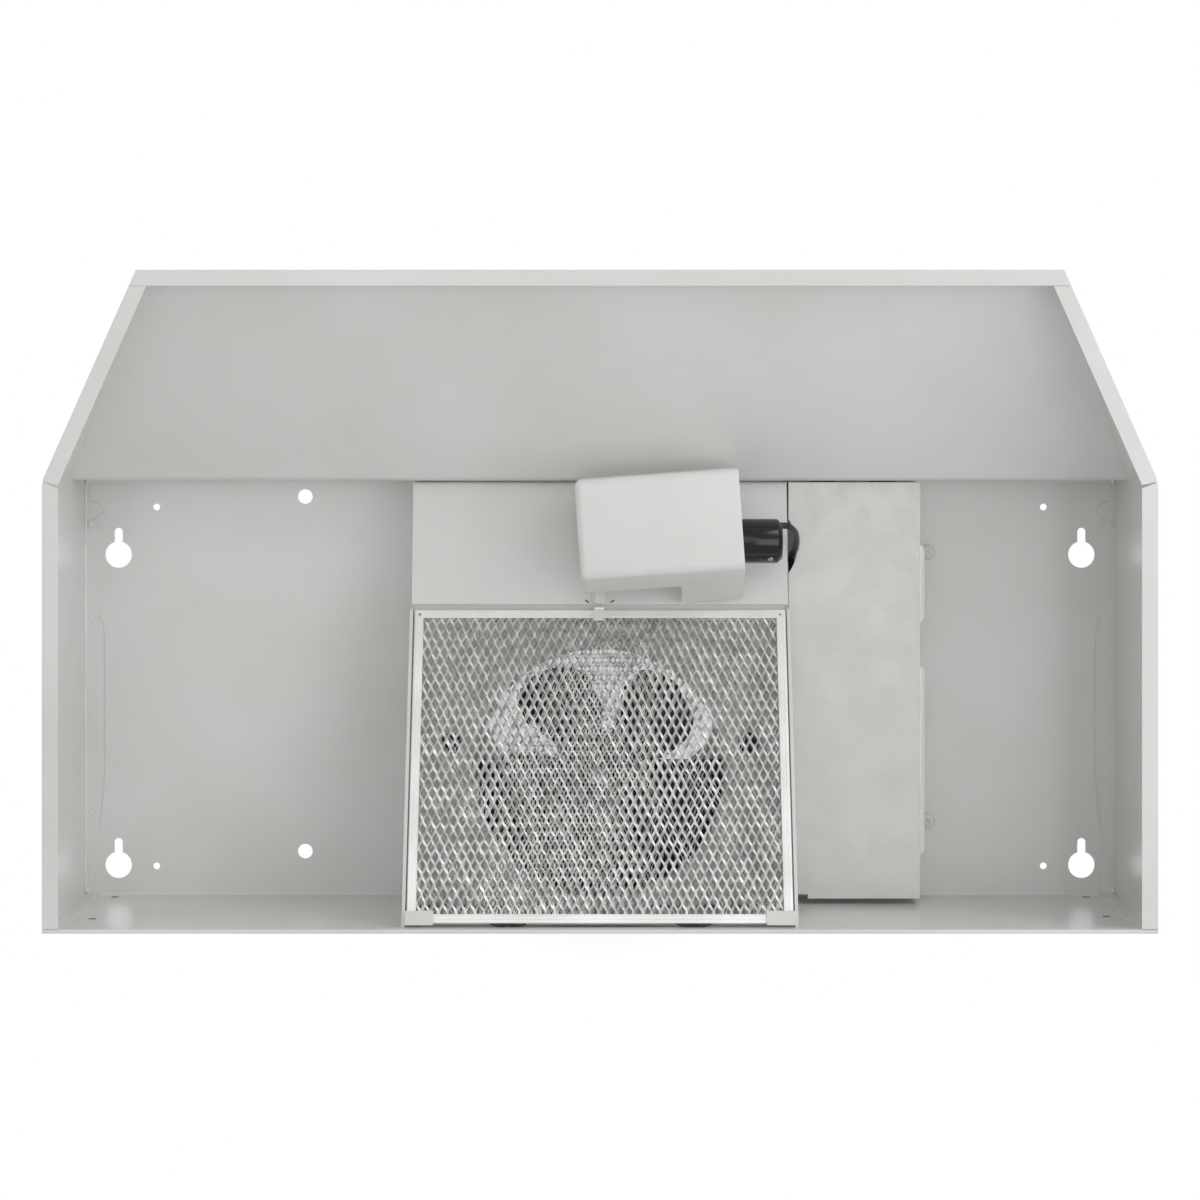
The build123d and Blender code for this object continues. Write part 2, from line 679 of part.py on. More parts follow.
def make_housing_cheeks():
    """Two side cheeks that hang from the ceiling, carry the plates and reach down to the filter."""
    outline = [
        (HOUSING_FRONT_Y, HOUSING_FRONT_Z),
        (HOUSING_STEP_Y, HOUSING_STEP_Z),
        (HOUSING_STEP_Y, VENTURI_Z),
        *cheek_line(),
        (HOUSING_REAR_Y, CEILING_Z),
        (HOUSING_FRONT_Y, CEILING_Z),
    ]
    cheek = side_prism(outline, CHEEK_FACE, CHEEK_X)
    cheek += folded_along_x(cheek_line(), HOUSING_SHEET, [], CHEEK_FACE, CHEEK_X + CHEEK_LIP)
    cheek += block(
        CHEEK_X - HOUSING_TOP_FLANGE,
        CHEEK_X,
        HOUSING_FRONT_Y,
        HOUSING_REAR_Y,
        CEILING_Z - HOUSING_SHEET,
        CEILING_Z,
    )
    left = mirrored(cheek) & body_room()
    cheek -= rod(CHEEK_X - 3, CHEEK_X + 1, GROMMET_Y, GROMMET_Z, GROMMET_NECK_R)
    return one_node(cheek & body_room(), left)


def make_fan_housing():
    """Front plate and inlet plate with its collar, between the cheeks."""
    line = [
        (HOUSING_FRONT_Y, HOUSING_FRONT_Z + HOUSING_FRONT_FLANGE),
        (HOUSING_FRONT_Y, HOUSING_FRONT_Z),
        (HOUSING_STEP_Y, HOUSING_STEP_Z),
        (HOUSING_STEP_Y, VENTURI_Z),
        (HOUSING_REAR_Y, VENTURI_Z),
        (HOUSING_REAR_Y, VENTURI_Z + HOUSING_BACK_FLANGE),
    ]
    radii = [BEND, TIGHT_BEND, TIGHT_BEND, BEND]
    housing = folded_along_x(line, HOUSING_SHEET, radii, -CHEEK_FACE, CHEEK_FACE)
    housing -= post(0, FAN_Y, VENTURI_Z - 1, VENTURI_Z + 3, INLET_R + 2 * INLET_BEND)
    collar_line = [
        (INLET_R, VENTURI_Z + INLET_COLLAR),
        (INLET_R, VENTURI_Z),
        (INLET_R + 2 * INLET_BEND, VENTURI_Z),
    ]
    collar_face = Plane.XZ * sheet_face(collar_line, HOUSING_SHEET, [INLET_BEND])
    collar = Pos(0, FAN_Y, 0) * revolve(collar_face, axis=Axis.Z, revolution_arc=360)
    housing += collar
    for side in (-1, 1):
        hole = post(side * SERVICE_HOLE_X, SERVICE_HOLE_Y, VENTURI_Z - 1, VENTURI_Z + 3, SERVICE_HOLE_R)
        housing -= hole
    return housing & body_room()


# ---- fan and motor ----
def make_motor_bracket():
    """Hat-shaped plate under the ceiling, behind the discharge opening, that carries the motor."""
    top = BRIDGE_TOP + BRACKET_SHEET
    y0, y1 = FAN_Y - BRACKET_FRONT, HOUSING_REAR_Y - BRACKET_REAR_GAP
    bracket = block(-BRACKET_HALF, BRACKET_HALF, y0, y1, BRIDGE_TOP, top)
    for side in (-1, 1):
        edge = side * BRACKET_HALF
        inner = edge - side * BRACKET_SHEET
        foot_end = edge + side * BRACKET_FOOT
        bracket += block(inner, edge, y0, y1, BRIDGE_TOP, CEILING_Z)
        bracket += block(inner, foot_end, y0, y1, CEILING_Z - BRACKET_SHEET, CEILING_Z)
        bracket -= post(side * MOTOR_SCREW_X, FAN_Y, BRIDGE_TOP - 1, top + 1, MOTOR_SCREW_R + SCREW_PLAY)
    return bracket - post(0, FAN_Y, BRIDGE_TOP - 1, top + 1, BOSS_R + BRACKET_BOSS_PLAY)


def make_motor_stack():
    """Iron stack with the rotor bore and the window for the coil."""
    half = STACK_X / 2
    stack = block(-half, half, FAN_Y - STACK_FRONT, FAN_Y + STACK_REAR, STACK_BOTTOM, STACK_TOP)
    stack = chamfer(stack.edges().filter_by(Axis.Z), STACK_CHAMFER)
    window = block(
        -WINDOW_X / 2,
        WINDOW_X / 2,
        FAN_Y + WINDOW_FRONT,
        FAN_Y + WINDOW_REAR,
        STACK_BOTTOM - 1,
        STACK_TOP + 1,
    )
    stack -= post(0, FAN_Y, STACK_BOTTOM - 1, STACK_TOP + 1, ROTOR_BORE_R)
    stack -= window
    for side in (-1, 1):
        x = side * MOTOR_SCREW_X
        stack -= post(x, FAN_Y, STACK_BOTTOM - 1, STACK_TOP + 1, MOTOR_SCREW_R + SCREW_PLAY)
    return stack


def make_motor_coil():
    """Wound coil on a bobbin round the rear leg of the stack."""
    half = WINDOW_X / 2 - COIL_INSET
    leg_front = FAN_Y + WINDOW_REAR
    leg_rear = FAN_Y + STACK_REAR
    z0, z1 = STACK_BOTTOM - COIL_RISE, STACK_TOP + COIL_RISE
    coil = block(-half, half, leg_front - COIL_WALL, leg_rear + COIL_WALL, z0, z1)
    coil = fillet(coil.edges().filter_by(Axis.X), COIL_ROUND)
    return coil - block(
        -half - 1,
        half + 1,
        leg_front - COIL_GAP,
        leg_rear + COIL_GAP,
        STACK_BOTTOM - COIL_GAP,
        STACK_TOP + COIL_GAP,
    )


def make_motor_bridges():
    """Two bearing bridges, one above and one below the stack."""
    bridges = []
    for base, direction in ((STACK_TOP, 1), (STACK_BOTTOM, -1)):
        far = base + direction * BRIDGE_THICKNESS
        boss_end = far + direction * BOSS_EXTRA
        half_x, half_y = BRIDGE_LENGTH / 2, BRIDGE_WIDTH / 2
        bar = block(-half_x, half_x, FAN_Y - half_y, FAN_Y + half_y, base, far)
        bar = fillet(bar.edges().filter_by(Axis.Z), BRIDGE_ROUND)
        bar += post(0, FAN_Y, base, boss_end, BOSS_R)
        pocket_end = base + direction * (BUSH_START + BUSH_LENGTH)
        bar -= post(0, FAN_Y, base - direction, pocket_end, BUSH_R + BUSH_PLAY)
        bar -= post(0, FAN_Y, base, boss_end + direction, SHAFT_R + BRIDGE_SHAFT_ROOM)
        for side in (-1, 1):
            x = side * MOTOR_SCREW_X
            bar -= post(x, FAN_Y, base - direction, far + direction, MOTOR_SCREW_R + SCREW_PLAY)
        bridges.append(bar)
    return one_node(*bridges)


def make_bearing_bushes():
    """Bronze bushes in the two bridges."""
    bushes = []
    for base, direction in ((STACK_TOP, 1), (STACK_BOTTOM, -1)):
        start = base + direction * BUSH_START
        end = start + direction * BUSH_LENGTH
        bush = post(0, FAN_Y, start, end, BUSH_R)
        bushes.append(bush - post(0, FAN_Y, start - direction, end + direction, SHAFT_R + SHAFT_PLAY))
    return one_node(*bushes)


def make_motor_screws():
    """Two long screws that clamp the bridges and the stack to the bracket, with their nuts."""
    pieces = []
    top = BRIDGE_TOP + BRACKET_SHEET
    for side in (-1, 1):
        x = side * MOTOR_SCREW_X
        screw = post(x, FAN_Y, BRIDGE_BOTTOM, top + NUT_HEIGHT + SCREW_REACH, MOTOR_SCREW_R)
        head = post(x, FAN_Y, BRIDGE_BOTTOM - MOTOR_HEAD_HEIGHT, BRIDGE_BOTTOM, MOTOR_HEAD_R)
        pieces.append(screw + chamfer(head.edges().sort_by(Axis.Z)[0], SCREW_CHAMFER))
        nut = Pos(x, FAN_Y, top) * extrude(RegularPolygon(NUT_SIZE, 6), amount=NUT_HEIGHT)
        nut -= post(x, FAN_Y, top - 1, top + NUT_HEIGHT + 1, MOTOR_SCREW_R + SCREW_PLAY)
        pieces.append(nut)
    return one_node(*pieces)


def make_motor_rotor():
    """Squirrel-cage rotor on the shaft."""
    z0, z1 = STACK_BOTTOM + ROTOR_END_GAP, STACK_TOP - ROTOR_END_GAP
    rotor = post(0, FAN_Y, z0, z1, ROTOR_BORE_R - ROTOR_GAP)
    return rotor - post(0, FAN_Y, z0 - 1, z1 + 1, SHAFT_R)


def make_motor_shaft():
    """Shaft from the top bush to below the fan's hub."""
    return post(0, FAN_Y, HUB_BOTTOM - SHAFT_TAIL, STACK_TOP + BUSH_LENGTH, SHAFT_R)


def make_fan_blade():
    """One blade along X, with its leading side lower than its trailing side."""
    widen = FAN_TIP_R / cos(radians(BLADE_PITCH))
    edge = [(FAN_TIP_R * r * cos(radians(a)), widen * r * sin(radians(a))) for r, a in BLADE_EDGE]
    outline = make_face([Spline(*edge), Line(edge[-1], edge[0])])
    return Rot(-BLADE_PITCH, 0, 0) * extrude(outline, amount=BLADE_THICKNESS / 2, both=True)


def make_fan_wheel():
    """Five blades on a spider and a hub."""
    hub = post(0, FAN_Y, HUB_BOTTOM, HUB_BOTTOM + FAN_HUB_LENGTH, FAN_HUB_R)
    spider = post(0, FAN_Y, FAN_MID_Z - BLADE_THICKNESS, FAN_MID_Z + BLADE_THICKNESS, SPIDER_R)
    wheel = hub + spider
    blade = make_fan_blade()
    for i in range(FAN_BLADES):
        turn = FAN_FIRST_BLADE + i * 360 / FAN_BLADES
        wheel += Pos(0, FAN_Y, FAN_MID_Z) * Rot(0, 0, turn) * blade
    wheel = wheel & post(0, FAN_Y, VENTURI_Z - FAN_HUB_LENGTH, STACK_BOTTOM, FAN_TIP_R)
    return wheel - post(0, FAN_Y, HUB_BOTTOM - 1, HUB_BOTTOM + FAN_HUB_LENGTH + 1, SHAFT_R)


def make_fan_clip():
    """Push-on clip under the hub."""
    clip = post(0, FAN_Y, HUB_BOTTOM - CLIP_HEIGHT, HUB_BOTTOM, CLIP_R)
    return clip - post(0, FAN_Y, HUB_BOTTOM - CLIP_HEIGHT - 1, HUB_BOTTOM + 1, SHAFT_R)


# ---- grease filter, drawn flat in its own frame with its rear edge on the X axis ----
def make_filter_frame():
    """Channel frame folded round the mesh."""
    half = FILTER_WIDTH / 2
    outer = block(-half, half, -FILTER_LENGTH, 0, 0, FILTER_THICKNESS)
    outer = fillet(outer.edges().filter_by(Axis.Z), CHANNEL_CORNER)
    groove = block(
        -half + CHANNEL_SHEET,
        half - CHANNEL_SHEET,
        -FILTER_LENGTH + CHANNEL_SHEET,
        -CHANNEL_SHEET,
        CHANNEL_SHEET,
        FILTER_THICKNESS - CHANNEL_SHEET,
    )
    window = block(
        -half + CHANNEL_FLANGE,
        half - CHANNEL_FLANGE,
        -FILTER_LENGTH + CHANNEL_FLANGE,
        -CHANNEL_FLANGE,
        -1,
        FILTER_THICKNESS + 1,
    )
    return FILTER_FRAME * (outer - groove - window)


def make_filter_mesh(z0, offset):
    """Expanded mesh, one sheet with staggered diamond gaps."""
    half = FILTER_WIDTH / 2 - CHANNEL_SHEET - MESH_EDGE_GAP
    edge = CHANNEL_SHEET + MESH_EDGE_GAP
    pitch_x = (2 * half - 2 * CHANNEL_FLANGE) / MESH_COLUMNS
    pitch_y = (FILTER_LENGTH - 2 * edge - 2 * CHANNEL_FLANGE) / MESH_ROWS
    outline = Pos(0, -FILTER_LENGTH / 2) * Rectangle(2 * half, FILTER_LENGTH - 2 * edge)
    a, b = pitch_x / 2 - MESH_STRAND / 2, pitch_y * MESH_ROW_OVERLAP - MESH_STRAND / 2
    gap = make_face(Polyline((-a, 0), (0, -b), (a, 0), (0, b), close=True))
    gaps = []
    for row in range(MESH_ROWS):
        y = -FILTER_LENGTH / 2 + (row - (MESH_ROWS - 1) / 2) * pitch_y
        shift = offset if row % 2 else pitch_x / 2 - offset
        for column in range(MESH_COLUMNS - 1):
            x = (column - (MESH_COLUMNS - 1) / 2) * pitch_x + shift
            gaps.append(Pos(x, y) * gap)
    return FILTER_FRAME * (Pos(0, 0, z0) * extrude(outline - gaps, amount=MESH_SHEET))


def skewed_strip(x_centre, y_centre, width):
    """Upright prism that cuts a strap to its width, turned by the strap's skew."""
    return Pos(x_centre, y_centre, 0) * Rot(0, 0, STRAP_SKEW) * Box(width, HEIGHT, 4 * HEIGHT)


def make_filter_pull_tab():
    """Spring tab under the front of the filter frame."""
    drop = tan(radians(FILTER_ANGLE))
    line = [
        (FILTER_FRONT_Y + PULL_TAB_REACH, FILTER_FRONT_Z - PULL_TAB_REACH * drop),
        (FILTER_FRONT_Y, FILTER_FRONT_Z),
        (FILTER_FRONT_Y - PULL_TAB_LEAD, FILTER_FRONT_Z),
    ]
    strip = folded_along_x(line, PULL_TAB_SHEET, [TIGHT_BEND], -STRAP_BLANK, STRAP_BLANK)
    return strip & skewed_strip(STRAP_X, FILTER_FRONT_Y, PULL_TAB_WIDTH)


def make_filter_springs():
    """Two bowed leaf springs on the rear edge of the frame."""
    springs = []
    half = SPRING_LENGTH / 2
    for x in SPRING_X:
        outer = ThreePointArc((-half, 0), (0, SPRING_BOW), (half, 0))
        inner_half = half - 2 * SPRING_SHEET
        inner = ThreePointArc((-inner_half, 0), (0, SPRING_BOW - SPRING_SHEET), (inner_half, 0))
        ends = [Line((-half, 0), (-inner_half, 0)), Line((half, 0), (inner_half, 0))]
        face = make_face([outer, inner, *ends])
        leaf = Pos(x, 0, SPRING_LIFT) * extrude(face, amount=SPRING_WIDTH)
        springs.append(FILTER_FRAME * leaf)
    return one_node(*springs)


def make_filter_corner_clips():
    """Two clips on the cheeks that carry the rear corners of the filter."""
    pad_end = CHEEK_FACE - CLIP_LEG_SHEET
    top = -CLIP_PAD_GAP
    bottom = top - CLIP_PAD_SHEET
    y0, y1 = -CLIP_PAD_GRIP, CLIP_PAD_DEPTH - CLIP_PAD_GRIP
    pad = block(pad_end - CLIP_PAD_LENGTH, pad_end + CLIP_LEG_SHEET, y0, y1, bottom, top)
    leg = block(pad_end, pad_end + CLIP_LEG_SHEET, y0, y1, bottom, CLIP_LEG_RISE)
    clip = FILTER_FRAME * (pad + leg)
    return one_node(clip, mirrored(clip))


# ---- lamp ----
def lens_form(inset, length_start, length_end, top):
    """Solid tray shape of the lens, shrunk by a wall's inset."""
    lean = (LENS_RIM_DEPTH - LENS_FLOOR) / (LENS_RIM_Z - LENS_BOTTOM_Z)
    slant = sqrt(1 + lean**2)
    floor_z = LENS_BOTTOM_Z + inset
    rear_floor = LENS_FLOOR + lean * inset - inset * slant
    rear_top = rear_floor + lean * (top - floor_z)
    outline = [(inset, floor_z), (rear_floor, floor_z), (rear_top, top), (inset, top)]
    form = side_prism(outline, length_start, length_end)
    radius = LENS_ROUND - inset
    bottom = form.edges().filter_by(Axis.X).group_by(Axis.Z)[0]
    ends = form.faces().sort_by(Axis.X)[0].edges().group_by(Axis.Z)[:-1]
    return fillet(bottom + [edge for group in ends for edge in group], radius)


def make_light_lens():
    """Thin moulded lens, open towards the socket and at the top, with two hinge ears."""
    tray = lens_form(0, 0, LENS_LENGTH, LENS_RIM_Z)
    hollow = lens_form(LENS_WALL, LENS_WALL, LENS_LENGTH + LENS_OVERCUT, LENS_RIM_Z + LENS_OVERCUT)
    lens = tray - hollow
    cut_end = LENS_RIM_DEPTH + LENS_OVERCUT
    cut = block(-1, LENS_CUT_X, LENS_CUT_Y, cut_end, LENS_CUT_Z, LENS_RIM_Z + 1)
    lens -= fillet(cut.edges().filter_by(Axis.Y).sort_by(Axis.X)[-2:].sort_by(Axis.Z)[:1], LENS_CUT_ROUND)
    for x in (EAR_INSET, LENS_LENGTH - EAR_INSET):
        x0, x1 = x - EAR_THICKNESS / 2, x + EAR_THICKNESS / 2
        ear = rod(x0, x1, HINGE_INSET, HINGE_Z, EAR_R)
        lean = EAR_R * sin(pi / 4)
        ear += side_prism(
            [
                (LENS_WALL / 2, LENS_RIM_Z - EAR_ROOT),
                (LENS_WALL / 2, LENS_RIM_Z),
                (HINGE_INSET - lean, HINGE_Z + lean),
                (HINGE_INSET + lean, HINGE_Z - lean),
            ],
            x0,
            x1,
        )
        lens += ear - rod(x0 - 1, x1 + 1, HINGE_INSET, HINGE_Z, HINGE_PIN_R + HINGE_PLAY)
    return LENS_FRAME * lens


def hanger_places():
    """Where the hangers stand along the lens, just outside its ears."""
    aside = EAR_THICKNESS / 2 + HANGER_GAP
    return (
        (EAR_INSET - aside - HANGER_SHEET, EAR_INSET - aside),
        (LENS_LENGTH - EAR_INSET + aside, LENS_LENGTH - EAR_INSET + aside + HANGER_SHEET),
    )


def make_lens_hangers():
    """Two sheet hangers under the front plate that hold the hinge pin."""
    hangers = []
    far_y = HOUSING_FRONT_Y - HANGER_WIDTH
    above = side_prism(
        [
            (far_y, housing_line_z(far_y)),
            (HOUSING_STEP_Y, HOUSING_STEP_Z),
            (HOUSING_STEP_Y, HEIGHT),
            (far_y, HEIGHT),
        ],
        -WIDTH,
        WIDTH,
    )
    front_room = block(-WIDTH, WIDTH, FRONT_Y, HOUSING_FRONT_Y, HINGE_Z + EAR_R, HEIGHT)
    for x0, x1 in hanger_places():
        y0 = HINGE_INSET - HANGER_WIDTH / 2 + HANGER_OFFSET
        leg = LENS_FRAME * block(x0, x1, y0, y0 + HANGER_WIDTH, HINGE_Z - EAR_R, HEIGHT)
        leg = leg - above - front_room
        pin_hole = LENS_FRAME * rod(x0 - 1, x1 + 1, HINGE_INSET, HINGE_Z, HINGE_PIN_R)
        centre = (LENS_FRAME * Pos((x0 + x1) / 2, HINGE_INSET, 0)).position
        foot_y = max(centre.Y - HANGER_FOOT / 2, HOUSING_FRONT_Y + BEND)
        foot_end = foot_y + HANGER_FOOT
        foot = folded_along_x(
            [(foot_end, housing_line_z(foot_end)), (foot_y, housing_line_z(foot_y))],
            HANGER_SHEET,
            [],
            centre.X - HANGER_FOOT / 2,
            centre.X + HANGER_FOOT / 2,
        )
        hangers.append(leg + foot - pin_hole)
    return one_node(*hangers)


def make_lens_hinge_pin():
    """Wire pin through the hangers and the lens ears."""
    start = hanger_places()[0][0] - PIN_OVERHANG
    end = hanger_places()[1][1] + PIN_OVERHANG
    return LENS_FRAME * rod(start, end, HINGE_INSET, HINGE_Z, HINGE_PIN_R)


def make_lens_strap():
    """Flat strap under the front plate, from behind the lamp to the filter."""
    end_y = HOUSING_STEP_Y
    line = [(end_y, housing_line_z(end_y)), (STRAP_START_Y, housing_line_z(STRAP_START_Y))]
    strip = folded_along_x(line, STRAP_SHEET, [], -STRAP_BLANK, STRAP_BLANK)
    return strip & skewed_strip(STRAP_X, FILTER_FRONT_Y, PULL_TAB_WIDTH)


def make_lamp_socket():
    """Moulded screw-lamp socket with a chamfered rear end and a foot on top."""
    body = rod(SOCKET_FRONT_X, SOCKET_REAR_X, SOCKET_Y, SOCKET_Z, SOCKET_R)
    body = chamfer(body.edges().sort_by(Axis.X)[-1], SOCKET_CHAMFER)
    foot_top = SOCKET_Z + SOCKET_R + SOCKET_FOOT_RISE
    foot_x = (SOCKET_FRONT_X + SOCKET_REAR_X) / 2
    half_x, half_y = SOCKET_FOOT_LENGTH / 2, SOCKET_FOOT_WIDTH / 2
    body += block(
        foot_x - half_x,
        foot_x + half_x,
        SOCKET_Y - half_y,
        SOCKET_Y + half_y,
        SOCKET_Z + SOCKET_CAVITY_R,
        foot_top,
    )
    cavity_end = SOCKET_REAR_X - SOCKET_FLOOR
    body -= rod(SOCKET_FRONT_X - 1, cavity_end, SOCKET_Y, SOCKET_Z, SOCKET_CAVITY_R)
    return body


def make_socket_screw_shell():
    """Brass screw shell and centre contact in the socket."""
    outer_r = SOCKET_CAVITY_R - SHELL_GAP
    floor_x = SOCKET_REAR_X - SOCKET_FLOOR
    shell = rod(SOCKET_FRONT_X + SHELL_SINK, floor_x, SOCKET_Y, SOCKET_Z, outer_r)
    shell -= rod(SOCKET_FRONT_X, floor_x + 1, SOCKET_Y, SOCKET_Z, outer_r - SHELL_WALL)
    contact = rod(CAP_START_X + CAP_LENGTH, floor_x, SOCKET_Y, SOCKET_Z, CONTACT_R)
    return one_node(shell, contact)


def make_light_bulb():
    """Glass bulb, turned about the socket's axis."""
    tip = SOCKET_FRONT_X - BULB_REACH
    middle = tip + BULB_R
    neck_start = SOCKET_FRONT_X - BULB_NECK_LENGTH
    half_way = (middle - BULB_R * sin(pi / 4), BULB_R * cos(pi / 4))
    shoulder = (middle + BULB_R * sin(radians(BULB_SHOULDER)), BULB_R * cos(radians(BULB_SHOULDER)))
    before_shoulder = radians(BULB_SHOULDER) / 2
    crown = (middle + BULB_R * sin(before_shoulder), BULB_R * cos(before_shoulder))
    lines = [
        ThreePointArc((tip, 0), half_way, (middle, BULB_R)),
        ThreePointArc((middle, BULB_R), crown, shoulder),
        Line(shoulder, (neck_start, BULB_NECK_R)),
        Line((neck_start, BULB_NECK_R), (CAP_START_X, BULB_NECK_R)),
        Line((CAP_START_X, BULB_NECK_R), (CAP_START_X, 0)),
        Line((CAP_START_X, 0), (tip, 0)),
    ]
    glass = revolve(make_face(lines), axis=Axis.X, revolution_arc=360)
    return Pos(0, SOCKET_Y, SOCKET_Z) * glass


def make_bulb_cap():
    """Screw cap of the bulb."""
    cap = rod(CAP_START_X, CAP_START_X + CAP_LENGTH, SOCKET_Y, SOCKET_Z, CAP_R)
    return chamfer(cap.edges().sort_by(Axis.X)[-1], CAP_CHAMFER)


def make_lamp_bracket():
    """C-shaped bracket between the front plate and the socket's foot."""
    base_z = SOCKET_Z + SOCKET_R + SOCKET_FOOT_RISE
    y0 = SOCKET_Y - LAMP_BRACKET_DEPTH / 2
    y1 = SOCKET_Y + LAMP_BRACKET_DEPTH / 2
    line = [(y1, housing_line_z(y1)), (y0, housing_line_z(y0)), (y0, base_z), (y1, base_z)]
    middle = (SOCKET_FRONT_X + SOCKET_REAR_X) / 2
    half = LAMP_BRACKET_WIDTH / 2
    bends = [SMALL_BEND, SMALL_BEND]
    return folded_along_x(line, LAMP_BRACKET_SHEET, bends, middle - half, middle + half)


# ---- wiring compartment ----
def make_wiring_cover():
    """Galvanised cover over the wiring, with a notch for the lamp leads."""
    z0, z1 = COVER_Z, COVER_Z + COVER_SHEET
    cover = block(COVER_LEFT_X, COVER_RIGHT_X, COVER_FRONT_Y, COVER_REAR_Y, z0, z1)
    for x in (COVER_LEFT_X, COVER_RIGHT_X - COVER_SHEET):
        cover += block(x, x + COVER_SHEET, COVER_FRONT_Y, COVER_REAR_Y, z0, CEILING_Z)
    for y0, y1 in COVER_LIP_SPANS:
        cut = COVER_LIP - COVER_LIP_START
        cover += plan(
            [
                (COVER_RIGHT_X - COVER_SHEET, y0),
                (COVER_RIGHT_X + COVER_LIP_START, y0),
                (COVER_RIGHT_X + COVER_LIP, y0 + cut),
                (COVER_RIGHT_X + COVER_LIP, y1 - cut),
                (COVER_RIGHT_X + COVER_LIP_START, y1),
                (COVER_RIGHT_X - COVER_SHEET, y1),
            ],
            z0,
            z1,
        )
    for y in DOME_SCREW_Y:
        tab = block(
            COVER_RIGHT_X - COVER_SHEET,
            DOME_SCREW_X,
            y - TAB_HALF_WIDTH,
            y + TAB_HALF_WIDTH,
            CEILING_Z - COVER_SHEET,
            CEILING_Z,
        )
        tab += post(DOME_SCREW_X, y, CEILING_Z - COVER_SHEET, CEILING_Z, TAB_HALF_WIDTH)
        cover += tab
        cover -= post(DOME_SCREW_X, y, CEILING_Z - 3, CEILING_Z + 1, DOME_SHANK_R + SCREW_PLAY)
    y0, y1 = LEAD_NOTCH_SPAN
    half = (y1 - y0) / 2
    arc_r = (half**2 + LEAD_NOTCH_DEPTH**2) / (2 * LEAD_NOTCH_DEPTH)
    arc_x = COVER_LEFT_X + LEAD_NOTCH_DEPTH - arc_r
    cover -= post(arc_x, (y0 + y1) / 2, z0 - 1, z1 + LEAD_NOTCH_RISE, arc_r)
    y0, y1 = PLUG_SLOT_SPAN
    slot_top = GROMMET_Z + GROMMET_BORE_R + PLUG_SLOT_ROOM
    cover -= block(COVER_LEFT_X - 1, COVER_LEFT_X + 2 * COVER_SHEET, y0, y1, z0 - 1, slot_top)
    cover -= block(
        COVER_LEFT_X - 1,
        COVER_LEFT_X + CORNER_NOTCH_X,
        COVER_REAR_Y - CORNER_NOTCH_Y,
        COVER_REAR_Y + 1,
        z0 - 1,
        z1 + 1,
    )
    return cover & body_room()


def make_cover_screws():
    """Two dome-headed screws that hold the cover's tabs to the ceiling."""
    screws = []
    under = CEILING_Z - COVER_SHEET
    sphere_r = (DOME_R**2 + DOME_HEIGHT**2) / (2 * DOME_HEIGHT)
    for y in DOME_SCREW_Y:
        dome = Pos(DOME_SCREW_X, y, under - DOME_HEIGHT + sphere_r) * Sphere(sphere_r)
        dome = dome & post(DOME_SCREW_X, y, under - DOME_HEIGHT - 1, under, sphere_r)
        screws.append(dome + post(DOME_SCREW_X, y, under, HEIGHT - SCREW_REACH, DOME_SHANK_R))
    return one_node(*screws)


def make_knockouts():
    """Round knock-outs in the top and the back for the supply cable."""
    top = post(KNOCKOUT_X, KNOCKOUT_Y, CEILING_Z, HEIGHT, KNOCKOUT_R - KNOCKOUT_GAP)
    disc = Cylinder(KNOCKOUT_R - KNOCKOUT_GAP, SHEET)
    back = Pos(KNOCKOUT_X, BACK_Y - SHEET / 2, KNOCKOUT_Z) * Rot(90, 0, 0) * disc
    return one_node(top, back)


def make_ground_screw():
    """Green bonding screw in the ceiling, inside the compartment."""
    bottom = CEILING_Z - GROUND_HEAD_HEIGHT
    head = post(GROUND_X, GROUND_Y, bottom, CEILING_Z, GROUND_HEAD_R)
    head = chamfer(head.edges().sort_by(Axis.Z)[0], SCREW_CHAMFER)
    slot = block(
        GROUND_X - 2 * GROUND_HEAD_R,
        GROUND_X + 2 * GROUND_HEAD_R,
        GROUND_Y - GROUND_SLOT_WIDTH / 2,
        GROUND_Y + GROUND_SLOT_WIDTH / 2,
        bottom - 1,
        bottom + GROUND_SLOT_DEPTH,
    )
    return head - slot + post(GROUND_X, GROUND_Y, CEILING_Z, HEIGHT - SCREW_REACH, GROUND_SHANK_R)


def lamp_lead_points(start_y, start_z, end_y):
    """Route of one lamp lead from the socket up through the notch to its connector."""
    rise_x = COVER_LEFT_X + LAMP_LEAD_ASIDE
    return [
        (SOCKET_REAR_X, start_y, start_z),
        (rise_x, start_y, start_z),
        (rise_x, start_y + LAMP_LEAD_LEAN, start_z + LAMP_LEAD_RISE),
        (rise_x, start_y + 2 * LAMP_LEAD_LEAN, COVER_Z + LAMP_LEAD_LEAN),
        (CONNECTOR_X, end_y, CONNECTOR_Z - CONNECTOR_LENGTH / 2),
        (CONNECTOR_X, end_y, CONNECTOR_Z),
    ]


LAMP_LEADS = ((-48.9, SOCKET_Z, -38.0), (-42.6, SOCKET_Z + 4, -25.0))


def make_lamp_leads():
    """Two leads from the socket to the wiring compartment."""
    return one_node(*[lead(lamp_lead_points(*ends), LAMP_LEAD_R) for ends in LAMP_LEADS])


def make_wire_connectors():
    """Twist-on connectors at the ends of the lamp leads."""
    cones = []
    for _, _, y in LAMP_LEADS:
        middle = CONNECTOR_Z + CONNECTOR_LENGTH / 2
        cones.append(Pos(CONNECTOR_X, y, middle) * Cone(CONNECTOR_R, CONNECTOR_TIP_R, CONNECTOR_LENGTH))
    return one_node(*cones)


